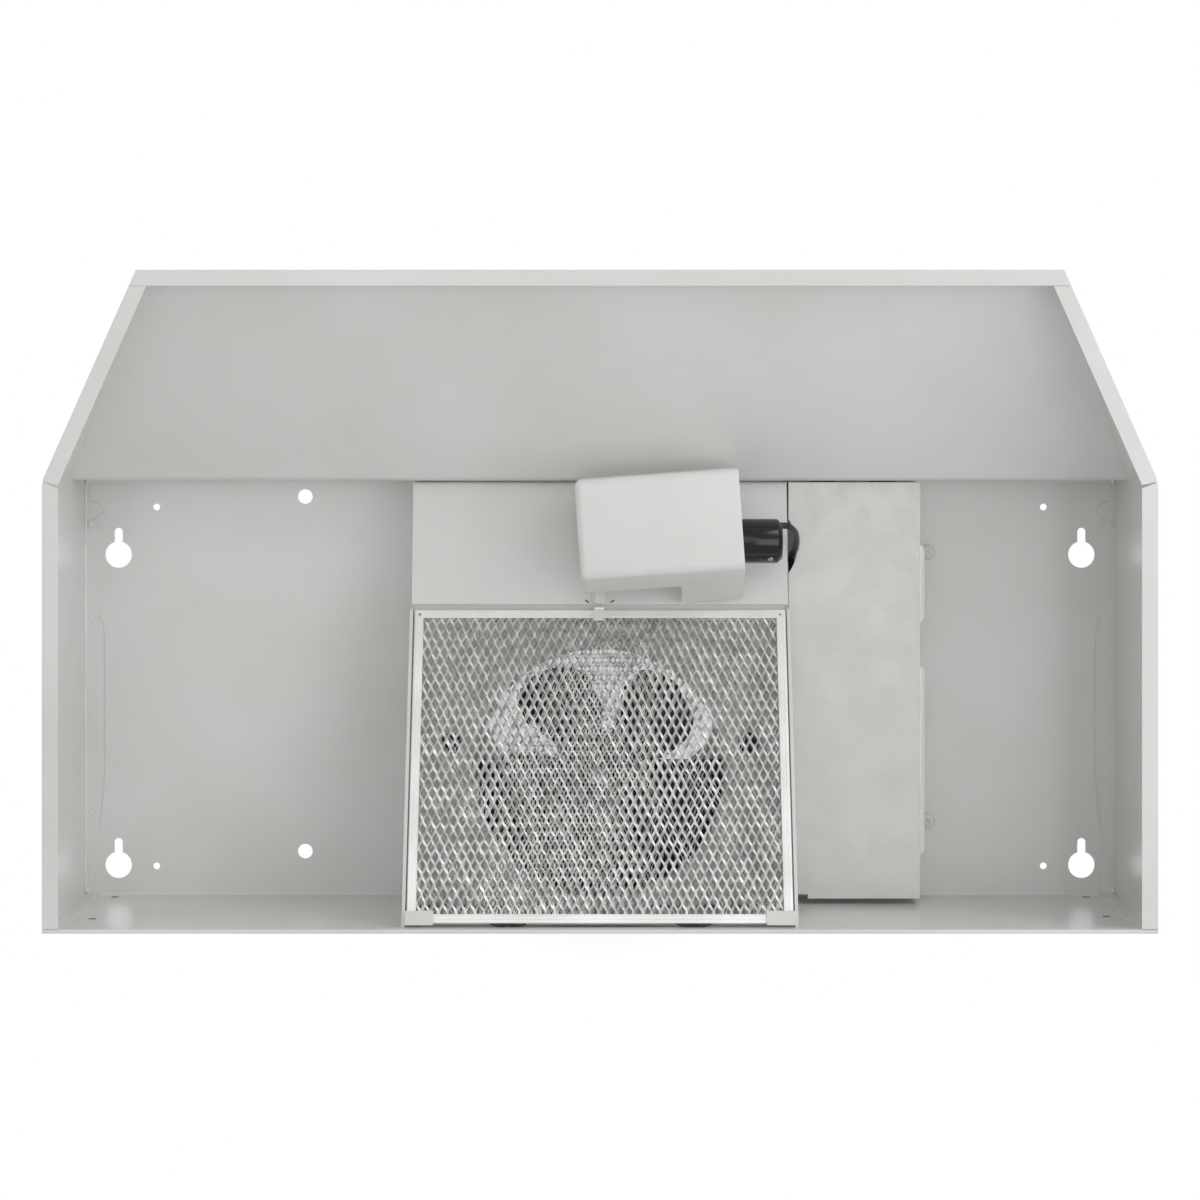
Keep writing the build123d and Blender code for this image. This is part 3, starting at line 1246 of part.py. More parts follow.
def motor_lead_points(side):
    """Route of one motor lead from the coil through the grommet to the plug."""
    coil_x = WINDOW_X / 2 - COIL_INSET
    coil_y = FAN_Y + STACK_REAR + MOTOR_LEAD_EXIT
    apart = side * (MOTOR_LEAD_R + MOTOR_LEAD_GAP)
    high = STACK_MID_Z + side * MOTOR_LEAD_RISE
    low = GROMMET_Z + apart
    straight_x = CHEEK_X - MOTOR_LEAD_STRAIGHT
    across = straight_x - coil_x
    ahead = GROMMET_Y - coil_y
    return [
        (coil_x, coil_y, high),
        (coil_x + MOTOR_LEAD_LEAVE * across, coil_y, high),
        *[(coil_x + u * across, coil_y + v * ahead, low + 1) for u, v in MOTOR_LEAD_BENDS],
        (straight_x, GROMMET_Y, low),
        (PLUG_X, GROMMET_Y, low),
    ]


def make_motor_leads():
    """Two leads from the coil to the plug."""
    return one_node(*[lead(motor_lead_points(side), MOTOR_LEAD_R) for side in (-1, 1)])


def make_lead_grommet():
    """Rubber grommet where the motor leads pass through the cheek."""
    inner, outer = CHEEK_FACE, CHEEK_X
    grommet = rod(inner - GROMMET_FLANGE, inner, GROMMET_Y, GROMMET_Z, GROMMET_FLANGE_R)
    grommet += rod(outer, outer + GROMMET_FLANGE, GROMMET_Y, GROMMET_Z, GROMMET_FLANGE_R)
    grommet += rod(inner, outer, GROMMET_Y, GROMMET_Z, GROMMET_NECK_R - SCREW_PLAY)
    reach = 2 * GROMMET_FLANGE
    return grommet - rod(inner - reach, outer + reach, GROMMET_Y, GROMMET_Z, GROMMET_BORE_R)


def make_motor_plug():
    """Nylon plug that ends the motor leads."""
    half_y, half_z = PLUG_WIDTH / 2, PLUG_HEIGHT / 2
    body = block(
        PLUG_X,
        PLUG_X + PLUG_LENGTH,
        GROMMET_Y - half_y,
        GROMMET_Y + half_y,
        GROMMET_Z - half_z,
        GROMMET_Z + half_z,
    )
    return fillet(body.edges().filter_by(Axis.X), PLUG_ROUND)


def make_plug_bracket():
    """Bracket that holds the plug under the ceiling."""
    top = GROMMET_Z + PLUG_HEIGHT / 2
    x0 = PLUG_X + PLUG_BRACKET_INSET
    x1 = PLUG_X + PLUG_LENGTH - PLUG_BRACKET_INSET
    y0 = GROMMET_Y - PLUG_WIDTH / 2
    y1 = GROMMET_Y + PLUG_WIDTH / 2
    line = [(y0, top), (y1, top), (y1, CEILING_Z), (y1 - PLUG_BRACKET_FOOT, CEILING_Z)]
    return folded_along_x(line, PLUG_BRACKET_SHEET, [SMALL_BEND, SMALL_BEND], x0, x1)


# ---- rocker switches ----
def rocker_axis_y():
    """Depth of the rocker's pins behind the fascia's outer face."""
    return FASCIA_Y - BEZEL_THICKNESS + ROCKER_PIN_R


def make_switch_body(x):
    """Snap-in switch body with its bezel, terminals and the pocket for the rocker."""
    half_x, half_z = SWITCH_BODY_X / 2, SWITCH_BODY_Z / 2
    z0, z1 = SWITCH_Z - half_z, SWITCH_Z + half_z
    body = block(x - half_x, x + half_x, FASCIA_Y, FASCIA_Y + SWITCH_DEPTH, z0, z1)
    margin = BEZEL_MARGIN
    bezel = block(
        x - half_x - margin,
        x + half_x + margin,
        FASCIA_Y - BEZEL_THICKNESS,
        FASCIA_Y,
        z0 - margin,
        z1 + margin,
    )
    bezel = chamfer(bezel.faces().sort_by(Axis.Y)[0].edges(), BEZEL_CHAMFER)
    body += bezel
    pocket_x = ROCKER_WIDTH / 2 + ROCKER_GAP
    pocket_z = ROCKER_R + ROCKER_GAP
    axis_y = rocker_axis_y()
    body -= block(
        x - pocket_x,
        x + pocket_x,
        FASCIA_Y - BEZEL_THICKNESS - 1,
        axis_y + ROCKER_DEPTH + ROCKER_ROOM,
        SWITCH_Z - pocket_z,
        SWITCH_Z + pocket_z,
    )
    pin_reach = ROCKER_WIDTH / 2 + ROCKER_PIN_LENGTH + ROCKER_GAP
    body -= rod(x - pin_reach, x + pin_reach, axis_y, SWITCH_Z, ROCKER_PIN_R + SHAFT_PLAY)
    rear = FASCIA_Y + SWITCH_DEPTH
    for z in (SWITCH_Z - TERMINAL_PITCH, SWITCH_Z, SWITCH_Z + TERMINAL_PITCH):
        half_w = TERMINAL_WIDTH / 2
        half_t = TERMINAL_SHEET / 2
        body += block(x - half_w, x + half_w, rear - 1, rear + TERMINAL_LENGTH, z - half_t, z + half_t)
    return body


def make_switch_rocker(x, tilt):
    """Two-winged rocker on its pins, tilted as it rests."""
    half_x = ROCKER_WIDTH / 2
    throw = radians(ROCKER_THROW)
    wing_y = ROCKER_PROUD + ROCKER_R * tan(throw)
    outline = [
        (ROCKER_DEPTH, 0),
        (ROCKER_DEPTH - ROCKER_R * tan(throw), ROCKER_R),
        (-wing_y, ROCKER_R),
        (-ROCKER_PROUD, 0),
        (-wing_y, -ROCKER_R),
        (ROCKER_DEPTH - ROCKER_R * tan(throw), -ROCKER_R),
    ]
    rocker = side_prism(outline, -half_x, half_x)
    rocker = rocker & rod(-half_x, half_x, 0, 0, ROCKER_R)
    pin_reach = half_x + ROCKER_PIN_LENGTH
    rocker += rod(-pin_reach, pin_reach, 0, 0, ROCKER_PIN_R)
    return Pos(x, rocker_axis_y(), SWITCH_Z) * Rot(tilt, 0, 0) * rocker


def export_nodes(nodes):
    """Write one STEP file for each named node."""
    os.makedirs("parts", exist_ok=True)
    for name, shape in nodes.items():
        export_step(shape, f"parts/{name}.step")


def main():
    """Build every node and write it."""
    right_panel = make_right_side_panel()
    lower_mesh_z = CHANNEL_SHEET + MESH_LIFT
    upper_mesh_z = FILTER_THICKNESS - lower_mesh_z - MESH_SHEET
    light_x, fan_x = SWITCH_X
    nodes = {
        "hood_shell": make_hood_shell(),
        "right_side_panel": right_panel,
        "left_side_panel": mirrored(right_panel),
        "fan_housing": make_fan_housing(),
        "housing_cheeks": make_housing_cheeks(),
        "motor_bracket": make_motor_bracket(),
        "motor_stack": make_motor_stack(),
        "motor_coil": make_motor_coil(),
        "motor_bridges": make_motor_bridges(),
        "bearing_bushes": make_bearing_bushes(),
        "motor_screws": make_motor_screws(),
        "motor_rotor": make_motor_rotor(),
        "motor_shaft": make_motor_shaft(),
        "fan_wheel": make_fan_wheel(),
        "fan_clip": make_fan_clip(),
        "filter_frame": make_filter_frame(),
        "filter_mesh_lower": make_filter_mesh(lower_mesh_z, 0.0),
        "filter_mesh_upper": make_filter_mesh(upper_mesh_z, MESH_SHIFT),
        "filter_pull_tab": make_filter_pull_tab(),
        "filter_springs": make_filter_springs(),
        "filter_corner_clips": make_filter_corner_clips(),
        "light_lens": make_light_lens(),
        "lens_hangers": make_lens_hangers(),
        "lens_hinge_pin": make_lens_hinge_pin(),
        "lens_strap": make_lens_strap(),
        "lamp_socket": make_lamp_socket(),
        "socket_screw_shell": make_socket_screw_shell(),
        "light_bulb": make_light_bulb(),
        "bulb_cap": make_bulb_cap(),
        "lamp_bracket": make_lamp_bracket(),
        "lamp_leads": make_lamp_leads(),
        "wire_connectors": make_wire_connectors(),
        "wiring_cover": make_wiring_cover(),
        "cover_screws": make_cover_screws(),
        "knockouts": make_knockouts(),
        "ground_screw": make_ground_screw(),
        "motor_leads": make_motor_leads(),
        "lead_grommet": make_lead_grommet(),
        "motor_plug": make_motor_plug(),
        "plug_bracket": make_plug_bracket(),
        "light_switch_body": make_switch_body(light_x),
        "light_switch_rocker": make_switch_rocker(light_x, -ROCKER_THROW),
        "fan_switch_body": make_switch_body(fan_x),
        "fan_switch_rocker": make_switch_rocker(fan_x, 0),
    }
    export_nodes(nodes)


main()
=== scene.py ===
"""Looks of an under-cabinet range hood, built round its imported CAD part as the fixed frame.

Shapes are worked out in millimetres and turned to metres as each piece is finished.
"""

import logging
import math
from collections.abc import Iterable
from dataclasses import dataclass
from enum import Enum
from typing import Any

import bmesh
import bpy
from mathutils import Matrix, Vector, noise as field


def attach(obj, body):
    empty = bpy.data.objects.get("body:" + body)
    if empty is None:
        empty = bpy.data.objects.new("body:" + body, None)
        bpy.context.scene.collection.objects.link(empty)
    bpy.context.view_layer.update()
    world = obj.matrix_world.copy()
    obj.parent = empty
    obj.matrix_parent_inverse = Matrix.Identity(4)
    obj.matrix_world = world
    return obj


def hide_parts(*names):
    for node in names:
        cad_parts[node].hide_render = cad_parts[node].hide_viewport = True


logging.basicConfig(level=logging.INFO, format="%(name)s: %(message)s")
LOG = logging.getLogger("hood")

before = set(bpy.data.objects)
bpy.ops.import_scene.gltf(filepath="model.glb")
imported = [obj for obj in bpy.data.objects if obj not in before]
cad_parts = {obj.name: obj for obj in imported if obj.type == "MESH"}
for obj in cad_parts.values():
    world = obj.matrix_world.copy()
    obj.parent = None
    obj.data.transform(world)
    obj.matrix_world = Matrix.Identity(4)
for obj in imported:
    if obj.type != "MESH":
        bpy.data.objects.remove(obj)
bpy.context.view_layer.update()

MM = 0.001
EVEN = (1.0, 1.0, 1.0)
NOISE_MIDDLE = (0.3, 0.7)
WAVE_STEP = math.tau / 20  # length of one band of Blender's wave texture at a scale of 1
SMOOTH_BELOW = math.radians(35)
WELD_GAP = 0.0005
ROD_FACES = 20

Tree = bpy.types.NodeTree
Socket = bpy.types.NodeSocket
Mesh = bmesh.types.BMesh
Pair = tuple[float, float]
Profile = tuple[Pair, ...]
Point = tuple[float, float, float]
Path = tuple[Point, ...]
Values = tuple[tuple[str, Any], ...]


class Slot(Enum):
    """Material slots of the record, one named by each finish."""

    ENAMEL = "painted_steel"
    GALVANISED = "galvanised_steel"
    ALUMINIUM = "filter_aluminium"
    SPRING = "spring_steel"
    LENS = "lens_plastic"
    PHENOLIC = "black_phenolic"
    BLACK_PAINT = "black_paint"
    BRASS = "socket_brass"
    GLASS = "bulb_glass"
    COPPER = "copper_winding"
    IRON = "motor_iron"
    ZINC = "cast_zinc"
    LEAD = "lead_insulation"
    NYLON = "nylon"
    GREEN = "green_zinc"
    SWITCH = "black_nylon"


class Side(Enum):
    """The two ends of the hood, as signs along X."""

    LEFT = -1
    RIGHT = 1


class Across(Enum):
    """The direction in which the bands of a wound or stacked finish follow each other."""

    X = "X"
    Z = "Z"


# ---------------------------------------------------------------- nodes and colours


def linear(hex_code: str) -> tuple[float, float, float, float]:
    """Turn an sRGB hex value to a linear colour.

    Args:
        hex_code: Six hex digits, with or without a leading #.

    Returns:
        Red, green, blue and alpha for a shader socket.
    """
    digits = hex_code.lstrip("#")
    parts = [int(digits[i : i + 2], 16) / 255 for i in (0, 2, 4)]
    red, green, blue = [c / 12.92 if c <= 0.04045 else ((c + 0.055) / 1.055) ** 2.4 for c in parts]
    return (red, green, blue, 1.0)


def add_node(
    tree: Tree,
    kind: str,
    settings: dict[str | int, Any] | None = None,
    links: dict[str | int, Socket] | None = None,
) -> bpy.types.Node:
    """Add a node with its settings and its incoming links.

    Args:
        tree: The node tree of a material or a world.
        kind: Blender's name of the node's type.
        settings: Values by the name or number of an input, or by the name of a property.
        links: Output sockets by the name or number of the input that each goes to.

    Returns:
        The new node.
    """
    node = tree.nodes.new(kind)
    for name, value in (settings or {}).items():
        if hasattr(node, str(name)):
            setattr(node, str(name), value)
        else:
            node.inputs[name].default_value = value
    for name, socket in (links or {}).items():
        tree.links.new(socket, node.inputs[name])
    return node


# ---------------------------------------------------------------- finishes


@dataclass(frozen=True)
class Pattern:
    """Soft blotches of a real size.

    The size is the way from one blotch to the next, the detail counts the octaves of finer detail, and
    the squeeze says how many times the pattern is squeezed along X, Y and Z.
    """

    size_mm: float
    detail: float = 2.0
    squeeze: Point = EVEN


Patterns = tuple[Pattern, ...]


@dataclass(frozen=True)
class Finish:
    """A surface finish: what the real material is and how its making shows.

    The first drawn pattern blends the dull colour into the light one over the tone's span. The one
    that gloss_from numbers spreads the roughness between the two values of gloss. The last one makes
    the relief, whose values are its depth in millimetres and the share of it that shows. What is the
    same all over the surface stands in sockets.
    """

    name: str = "finish"
    slot: Slot = Slot.ENAMEL
    light: str = "#FFFFFF"
    dull: str = "#FFFFFF"
    patterns: Patterns = ()
    tone_span: Pair = (0.35, 0.65)
    gloss: Pair | None = None
    gloss_from: int = 0
    relief: Pair | None = None
    sockets: Values = ()

    def material(self) -> bpy.types.Material:
        """Make the material once and hand out the same one after that.

        Returns:
            The material of this finish.
        """
        known = bpy.data.materials.get(self.name)
        if known:
            return known
        material = bpy.data.materials.new(self.name)
        material.use_nodes = True
        tree = material.node_tree
        coords = add_node(tree, "ShaderNodeTexCoord").outputs["Object"]
        self.paint(tree, tree.nodes["Principled BSDF"], self.draw(tree, coords))
        return material

    def draw(self, tree: Tree, coords: Socket) -> list[Socket]:
        """Draw the patterns.

        Args:
            tree: The material's node tree.
            coords: Object coordinates, in metres.

        Returns:
            The value of each pattern, about 0.5 in the middle.
        """
        drawn = []
        for pattern in self.patterns:
            at = coords
            if pattern.squeeze != EVEN:
                squeezed = add_node(tree, "ShaderNodeMapping", {"Scale": pattern.squeeze}, {"Vector": at})
                at = squeezed.outputs["Vector"]
            settings = {"Scale": 1 / (pattern.size_mm * MM), "Detail": pattern.detail}
            drawn.append(add_node(tree, "ShaderNodeTexNoise", settings, {"Vector": at}).outputs["Fac"])
        return drawn

    def paint(self, tree: Tree, shader: bpy.types.Node, drawn: list[Socket]) -> None:
        """Lead the patterns to the shader and set its even values.

        Args:
            tree: The material's node tree.
            shader: Its Principled BSDF.
            drawn: The patterns' values.
        """
        blend = add_node(tree, "ShaderNodeValToRGB", links={"Fac": drawn[0]})
        for stop, at, code in zip(blend.color_ramp.elements, self.tone_span, (self.dull, self.light)):
            stop.position = at
            stop.color = linear(code)
        tree.links.new(blend.outputs["Color"], shader.inputs["Base Color"])
        if self.gloss:
            names = ("From Min", "From Max", "To Min", "To Max")
            settings = dict(zip(names, (*NOISE_MIDDLE, *self.gloss)))
            rough = add_node(tree, "ShaderNodeMapRange", settings, {"Value": drawn[self.gloss_from]})
            tree.links.new(rough.outputs["Result"], shader.inputs["Roughness"])
        if self.relief:
            depth_mm, share = self.relief
            settings = {"Strength": share, "Distance": depth_mm * MM}
            bent = add_node(tree, "ShaderNodeBump", settings, {"Height": drawn[-1]})
            tree.links.new(bent.outputs["Normal"], shader.inputs["Normal"])
        for name, value in self.sockets:
            shader.inputs[name].default_value = value


@dataclass(frozen=True)
class BandedFinish(Finish):
    """A finish made of equal bands side by side, such as wires or the edges of sheets."""

    band_mm: float = 1.0
    across: Across = Across.X
    waver: float = 0.0

    def draw(self, tree: Tree, coords: Socket) -> list[Socket]:
        """Draw the bands.

        Args:
            tree: The material's node tree.
            coords: Object coordinates, in metres.

        Returns:
            The bands' value, from 0 in a groove to 1 on a crest.
        """
        settings = {
            "Scale": WAVE_STEP / (self.band_mm * MM),
            "Distortion": self.waver,
            "bands_direction": self.across.value,
        }
        return [add_node(tree, "ShaderNodeTexWave", settings, {"Vector": coords}).outputs["Fac"]]


@dataclass(frozen=True)
class BakedEnamel(Finish):
    """White enamel sprayed on steel and baked: an even gloss with a faint orange peel.

    The eye gets a slightly warm grey-white, wide dim highlights, a soft mirror at a low angle, and
    clouds a shade darker where hands and presses left the film thinner.
    """

    name: str = "baked_enamel_on_steel"
    slot: Slot = Slot.ENAMEL
    light: str = "#DCDBDA"
    dull: str = "#D4D3D1"
    patterns: Patterns = (Pattern(140.0, 3.0), Pattern(1.8, 1.0))
    gloss: Pair | None = (0.2, 0.27)
    relief: Pair | None = (0.03, 0.25)
    sockets: Values = (("IOR", 1.5),)


@dataclass(frozen=True)
class GalvanisedSheet(Finish):
    """Hot-dip galvanised sheet: zinc crystals that turn each patch a little.

    The eye gets a cool metal grey mottled in soft patches, each with its own gloss.
    """

    name: str = "hot_dip_galvanised_sheet"
    slot: Slot = Slot.GALVANISED
    light: str = "#D0D0CE"
    dull: str = "#C7C7C5"
    patterns: Patterns = (Pattern(30.0, 3.0), Pattern(0.9))
    tone_span: Pair = (0.45, 1.05)
    gloss: Pair | None = (0.42, 0.56)
    gloss_from: int = 1
    relief: Pair | None = (0.02, 0.3)
    sockets: Values = (("Metallic", 0.5),)
    spangle_mm: float = 13.0
    spangle_blur: float = 0.7
    spangle_share: float = 0.55

    def draw(self, tree: Tree, coords: Socket) -> list[Socket]:
        """Draw the zinc crystals, with soft clouds over them and a fine grain in them.

        Args:
            tree: The material's node tree.
            coords: Object coordinates, in metres.

        Returns:
            The clouded crystals, the bare crystals and the grain.
        """
        clouds, grain = super().draw(tree, coords)
        settings = {"Scale": 1 / (self.spangle_mm * MM), "feature": "SMOOTH_F1"}
        settings |= {"Smoothness": self.spangle_blur}
        cells = add_node(tree, "ShaderNodeTexVoronoi", settings, {"Vector": coords})
        shades = add_node(tree, "ShaderNodeSeparateColor", links={"Color": cells.outputs["Color"]})
        crystal = shades.outputs["Red"]
        settings = {"operation": "MULTIPLY_ADD", 1: self.spangle_share}
        clouded = add_node(tree, "ShaderNodeMath", settings, {0: crystal, 2: clouds})
        return [clouded.outputs["Value"], crystal, grain]


@dataclass(frozen=True)
class HighlightZinc(Finish):
    """Pale zinc grey that paints the highlight where edges, folds and corners catch the light: a clean pale
    line beside the duller sheet.
    """

    name: str = "painted_highlight_zinc"
    slot: Slot = Slot.GALVANISED
    light: str = "#F4F4F2"
    dull: str = "#E4E4E2"
    patterns: Patterns = (Pattern(6.0, 3.0, (1.0, 0.2, 1.0)),)
    gloss: Pair | None = (0.3, 0.42)
    sockets: Values = (("Metallic", 0.3),)


@dataclass(frozen=True)
class MillAluminium(Finish):
    """Rolled aluminium strip left as it comes from the mill: bright, with lines along the roll.

    The rolling lines are about 0.1 mm apart, too fine to show, so they are drawn 0.8 mm apart.
    """

    name: str = "mill_aluminium_strip"
    slot: Slot = Slot.ALUMINIUM
    light: str = "#FAFAF9"
    dull: str = "#EEEEEC"
    patterns: Patterns = (Pattern(45.0), Pattern(0.8, 2.0, (0.04, 1.0, 1.0)))
    gloss: Pair | None = (0.34, 0.46)
    gloss_from: int = 1
    relief: Pair | None = (0.02, 0.35)
    sockets: Values = (("Metallic", 0.35),)


@dataclass(frozen=True)
class SlitAluminium(Finish):
    """Aluminium foil slit and stretched into mesh: bright strands with torn, dull edges."""

    name: str = "slit_aluminium_mesh"
    slot: Slot = Slot.ALUMINIUM
    light: str = "#E6E6E4"
    dull: str = "#B2B2B0"
    patterns: Patterns = (Pattern(7.0, 4.0),)
    tone_span: Pair = (0.38, 0.6)
    gloss: Pair | None = (0.5, 0.3)
    sockets: Values = (("Metallic", 0.7),)


@dataclass(frozen=True)
class PlatedSteel(Finish):
    """Steel with bright zinc plating, as on pins, clips and screws: cool, smooth, a little patchy."""

    name: str = "zinc_plated_spring_steel"
    slot: Slot = Slot.SPRING
    light: str = "#C9CACC"
    dull: str = "#A9ABAE"
    patterns: Patterns = (Pattern(6.0, 3.0),)
    gloss: Pair | None = (0.24, 0.36)
    sockets: Values = (("Metallic", 1.0),)


@dataclass(frozen=True)
class BlackenedSpringAndShade(Finish):
    """Spring steel strip blackened in oil: near black, with worn greyer spots and a low gloss. Its black also
    paints the shade of the gap behind the filter's springs.
    """

    name: str = "blackened_spring_steel_and_painted_shade"
    slot: Slot = Slot.SPRING
    light: str = "#3A3A3A"
    dull: str = "#151515"
    patterns: Patterns = (Pattern(5.0, 3.0),)
    gloss: Pair | None = (0.5, 0.34)
    sockets: Values = (("Metallic", 0.5),)


@dataclass(frozen=True)
class MouldedStyrene(Finish):
    """White translucent polystyrene, injection moulded: light goes a few millimetres into it.

    The eye gets a clean milky white with soft edges, a little darker where the wall stands away.
    """

    name: str = "moulded_white_styrene"
    slot: Slot = Slot.LENS
    light: str = "#E7E6E4"
    dull: str = "#E2E1DF"
    patterns: Patterns = (Pattern(60.0), Pattern(2.5))
    gloss: Pair | None = (0.3, 0.36)
    gloss_from: int = 1
    relief: Pair | None = (0.03, 0.2)
    sockets: Values = (
        ("Subsurface Weight", 0.6),
        ("Subsurface Radius", EVEN),
        ("Subsurface Scale", 8.0 * MM),
        ("IOR", 1.59),
    )


@dataclass(frozen=True)
class MouldedPhenolic(Finish):
    """Black phenolic resin pressed in a polished mould: deep black with long sharp highlights."""

    name: str = "moulded_black_phenolic"
    slot: Slot = Slot.PHENOLIC
    light: str = "#1E1C1B"
    dull: str = "#131110"
    patterns: Patterns = (Pattern(12.0, 3.0),)
    gloss: Pair | None = (0.12, 0.2)
    sockets: Values = (("IOR", 1.48),)


@dataclass(frozen=True)
class BlackLacquerAndShade(Finish):
    """Black lacquer dipped on pressed steel paddles: satin, with dust in the film. The same black paints
    shade in slots, lances, service holes and on the motor bracket behind the fan.
    """

    name: str = "black_lacquer_and_painted_shade"
    slot: Slot = Slot.BLACK_PAINT
    light: str = "#2B2B2A"
    dull: str = "#191918"
    patterns: Patterns = (Pattern(18.0, 3.0), Pattern(1.5))
    gloss: Pair | None = (0.38, 0.5)
    relief: Pair | None = (0.04, 0.3)


@dataclass(frozen=True)
class DrawnBrass(Finish):
    """Thin brass drawn into a shell: warm yellow with rings of the drawing tool."""

    name: str = "drawn_brass"
    slot: Slot = Slot.BRASS
    light: str = "#D9BC77"
    dull: str = "#B4934D"
    patterns: Patterns = (Pattern(5.0, 3.0), Pattern(0.6, 1.0, (1.0, 0.05, 0.05)))
    gloss: Pair | None = (0.2, 0.34)
    gloss_from: int = 1
    sockets: Values = (("Metallic", 1.0),)


@dataclass(frozen=True)
class FrostedGlass(Finish):
    """Lamp glass frosted inside: smooth outside, milky in the body."""

    name: str = "inside_frosted_lamp_glass"
    slot: Slot = Slot.GLASS
    light: str = "#F6F5F0"
    dull: str = "#E9E8E2"
    patterns: Patterns = (Pattern(4.0, 4.0),)
    gloss: Pair | None = (0.08, 0.14)
    sockets: Values = (
        ("Transmission Weight", 0.15),
        ("Coat Weight", 0.6),
        ("Coat Roughness", 0.04),
        ("IOR", 1.52),
    )


@dataclass(frozen=True)
class WoundCopper(BandedFinish):
    """Enamelled copper wire in layers: fine bands, with painted shade in grooves, painted highlight on
    crests.

    The wire is about 0.4 mm thick, too fine to show, so its bands are drawn 1.2 mm apart.
    """

    name: str = "enamelled_copper_winding"
    slot: Slot = Slot.COPPER
    light: str = "#B5652F"
    dull: str = "#5E2E16"
    tone_span: Pair = (0.1, 0.8)
    relief: Pair | None = (0.3, 0.7)
    sockets: Values = (("Metallic", 0.6), ("Roughness", 0.35))
    band_mm: float = 1.2
    waver: float = 0.3


@dataclass(frozen=True)
class StackedLaminations(BandedFinish):
    """Punched electrical sheets pressed into a stack: dark blued iron with the edge of each sheet.

    The sheets are 0.65 mm thick, too fine to show, so their edges are drawn 1.5 mm apart.
    """

    name: str = "stacked_iron_laminations"
    slot: Slot = Slot.IRON
    light: str = "#5A5E66"
    dull: str = "#26282C"
    tone_span: Pair = (0.05, 0.5)
    relief: Pair | None = (0.2, 0.6)
    sockets: Values = (("Metallic", 0.85), ("Roughness", 0.45))
    band_mm: float = 1.5
    across: Across = Across.Z
    waver: float = 0.1


@dataclass(frozen=True)
class DieCastZinc(Finish):
    """Zinc cast in a steel die: matt light grey with a sandy skin."""

    name: str = "die_cast_zinc"
    slot: Slot = Slot.ZINC
    light: str = "#B3B4B4"
    dull: str = "#8F9091"
    patterns: Patterns = (Pattern(1.2, 4.0),)
    tone_span: Pair = (0.3, 0.7)
    relief: Pair | None = (0.08, 0.5)
    sockets: Values = (("Metallic", 0.9), ("Roughness", 0.55))


@dataclass(frozen=True)
class ExtrudedVinyl(Finish):
    """Black vinyl extruded round stranded wire: soft gloss with faint scuffs."""

    name: str = "extruded_black_vinyl"
    slot: Slot = Slot.LEAD
    light: str = "#2A2A29"
    dull: str = "#171716"
    patterns: Patterns = (Pattern(3.0, 3.0),)
    gloss: Pair | None = (0.32, 0.46)
    relief: Pair | None = (0.05, 0.3)


@dataclass(frozen=True)
class NaturalNylon(Finish):
    """Undyed nylon, injection moulded: waxy cream white that light goes into a little."""

    name: str = "natural_nylon"
    slot: Slot = Slot.NYLON
    light: str = "#EDE8D8"
    dull: str = "#DDD7C4"
    patterns: Patterns = (Pattern(4.0),)
    gloss: Pair | None = (0.4, 0.5)
    sockets: Values = (
        ("Subsurface Weight", 0.2),
        ("Subsurface Scale", 1.5 * MM),
    )


@dataclass(frozen=True)
class GreenPassivate(Finish):
    """Zinc plating dyed green, as on bonding screws: a thin green film over bright metal."""

    name: str = "green_dyed_zinc_plating"
    slot: Slot = Slot.GREEN
    light: str = "#2F8A4C"
    dull: str = "#1C6234"
    patterns: Patterns = (Pattern(2.0, 3.0),)
    sockets: Values = (("Metallic", 0.7), ("Roughness", 0.35))


@dataclass(frozen=True)
class SparkedNylon(Finish):
    """Black nylon from a spark-eroded mould: a fine even grain that scatters its gloss.

    The grain is about 0.1 mm wide, too fine to show, so it is drawn 0.5 mm wide.
    """

    name: str = "spark_grained_black_nylon"
    slot: Slot = Slot.SWITCH
    light: str = "#232323"
    dull: str = "#161616"
    patterns: Patterns = (Pattern(0.5),)
    relief: Pair | None = (0.06, 0.4)
    sockets: Values = (("Roughness", 0.38),)


@dataclass(frozen=True)
class PaleFloor(Finish):
    """Matt painted studio floor, plain and pale."""

    name: str = "matt_studio_floor"
    light: str = "#BFBFBE"
    dull: str = "#BBBBBA"
    patterns: Patterns = (Pattern(900.0),)
    sockets: Values = (("Roughness", 0.9),)


ENAMEL = BakedEnamel()
PAINTED_HIGHLIGHT = HighlightZinc()
ALUMINIUM = MillAluminium()
MESH_ALUMINIUM = SlitAluminium()
PLATED = PlatedSteel()
BLACKENED_AND_SHADE = BlackenedSpringAndShade()
STYRENE = MouldedStyrene()
PHENOLIC = MouldedPhenolic()
LACQUER_AND_SHADE = BlackLacquerAndShade()
VINYL = ExtrudedVinyl()
SWITCH_NODES = ("light_switch_body", "light_switch_rocker", "fan_switch_body", "fan_switch_rocker")

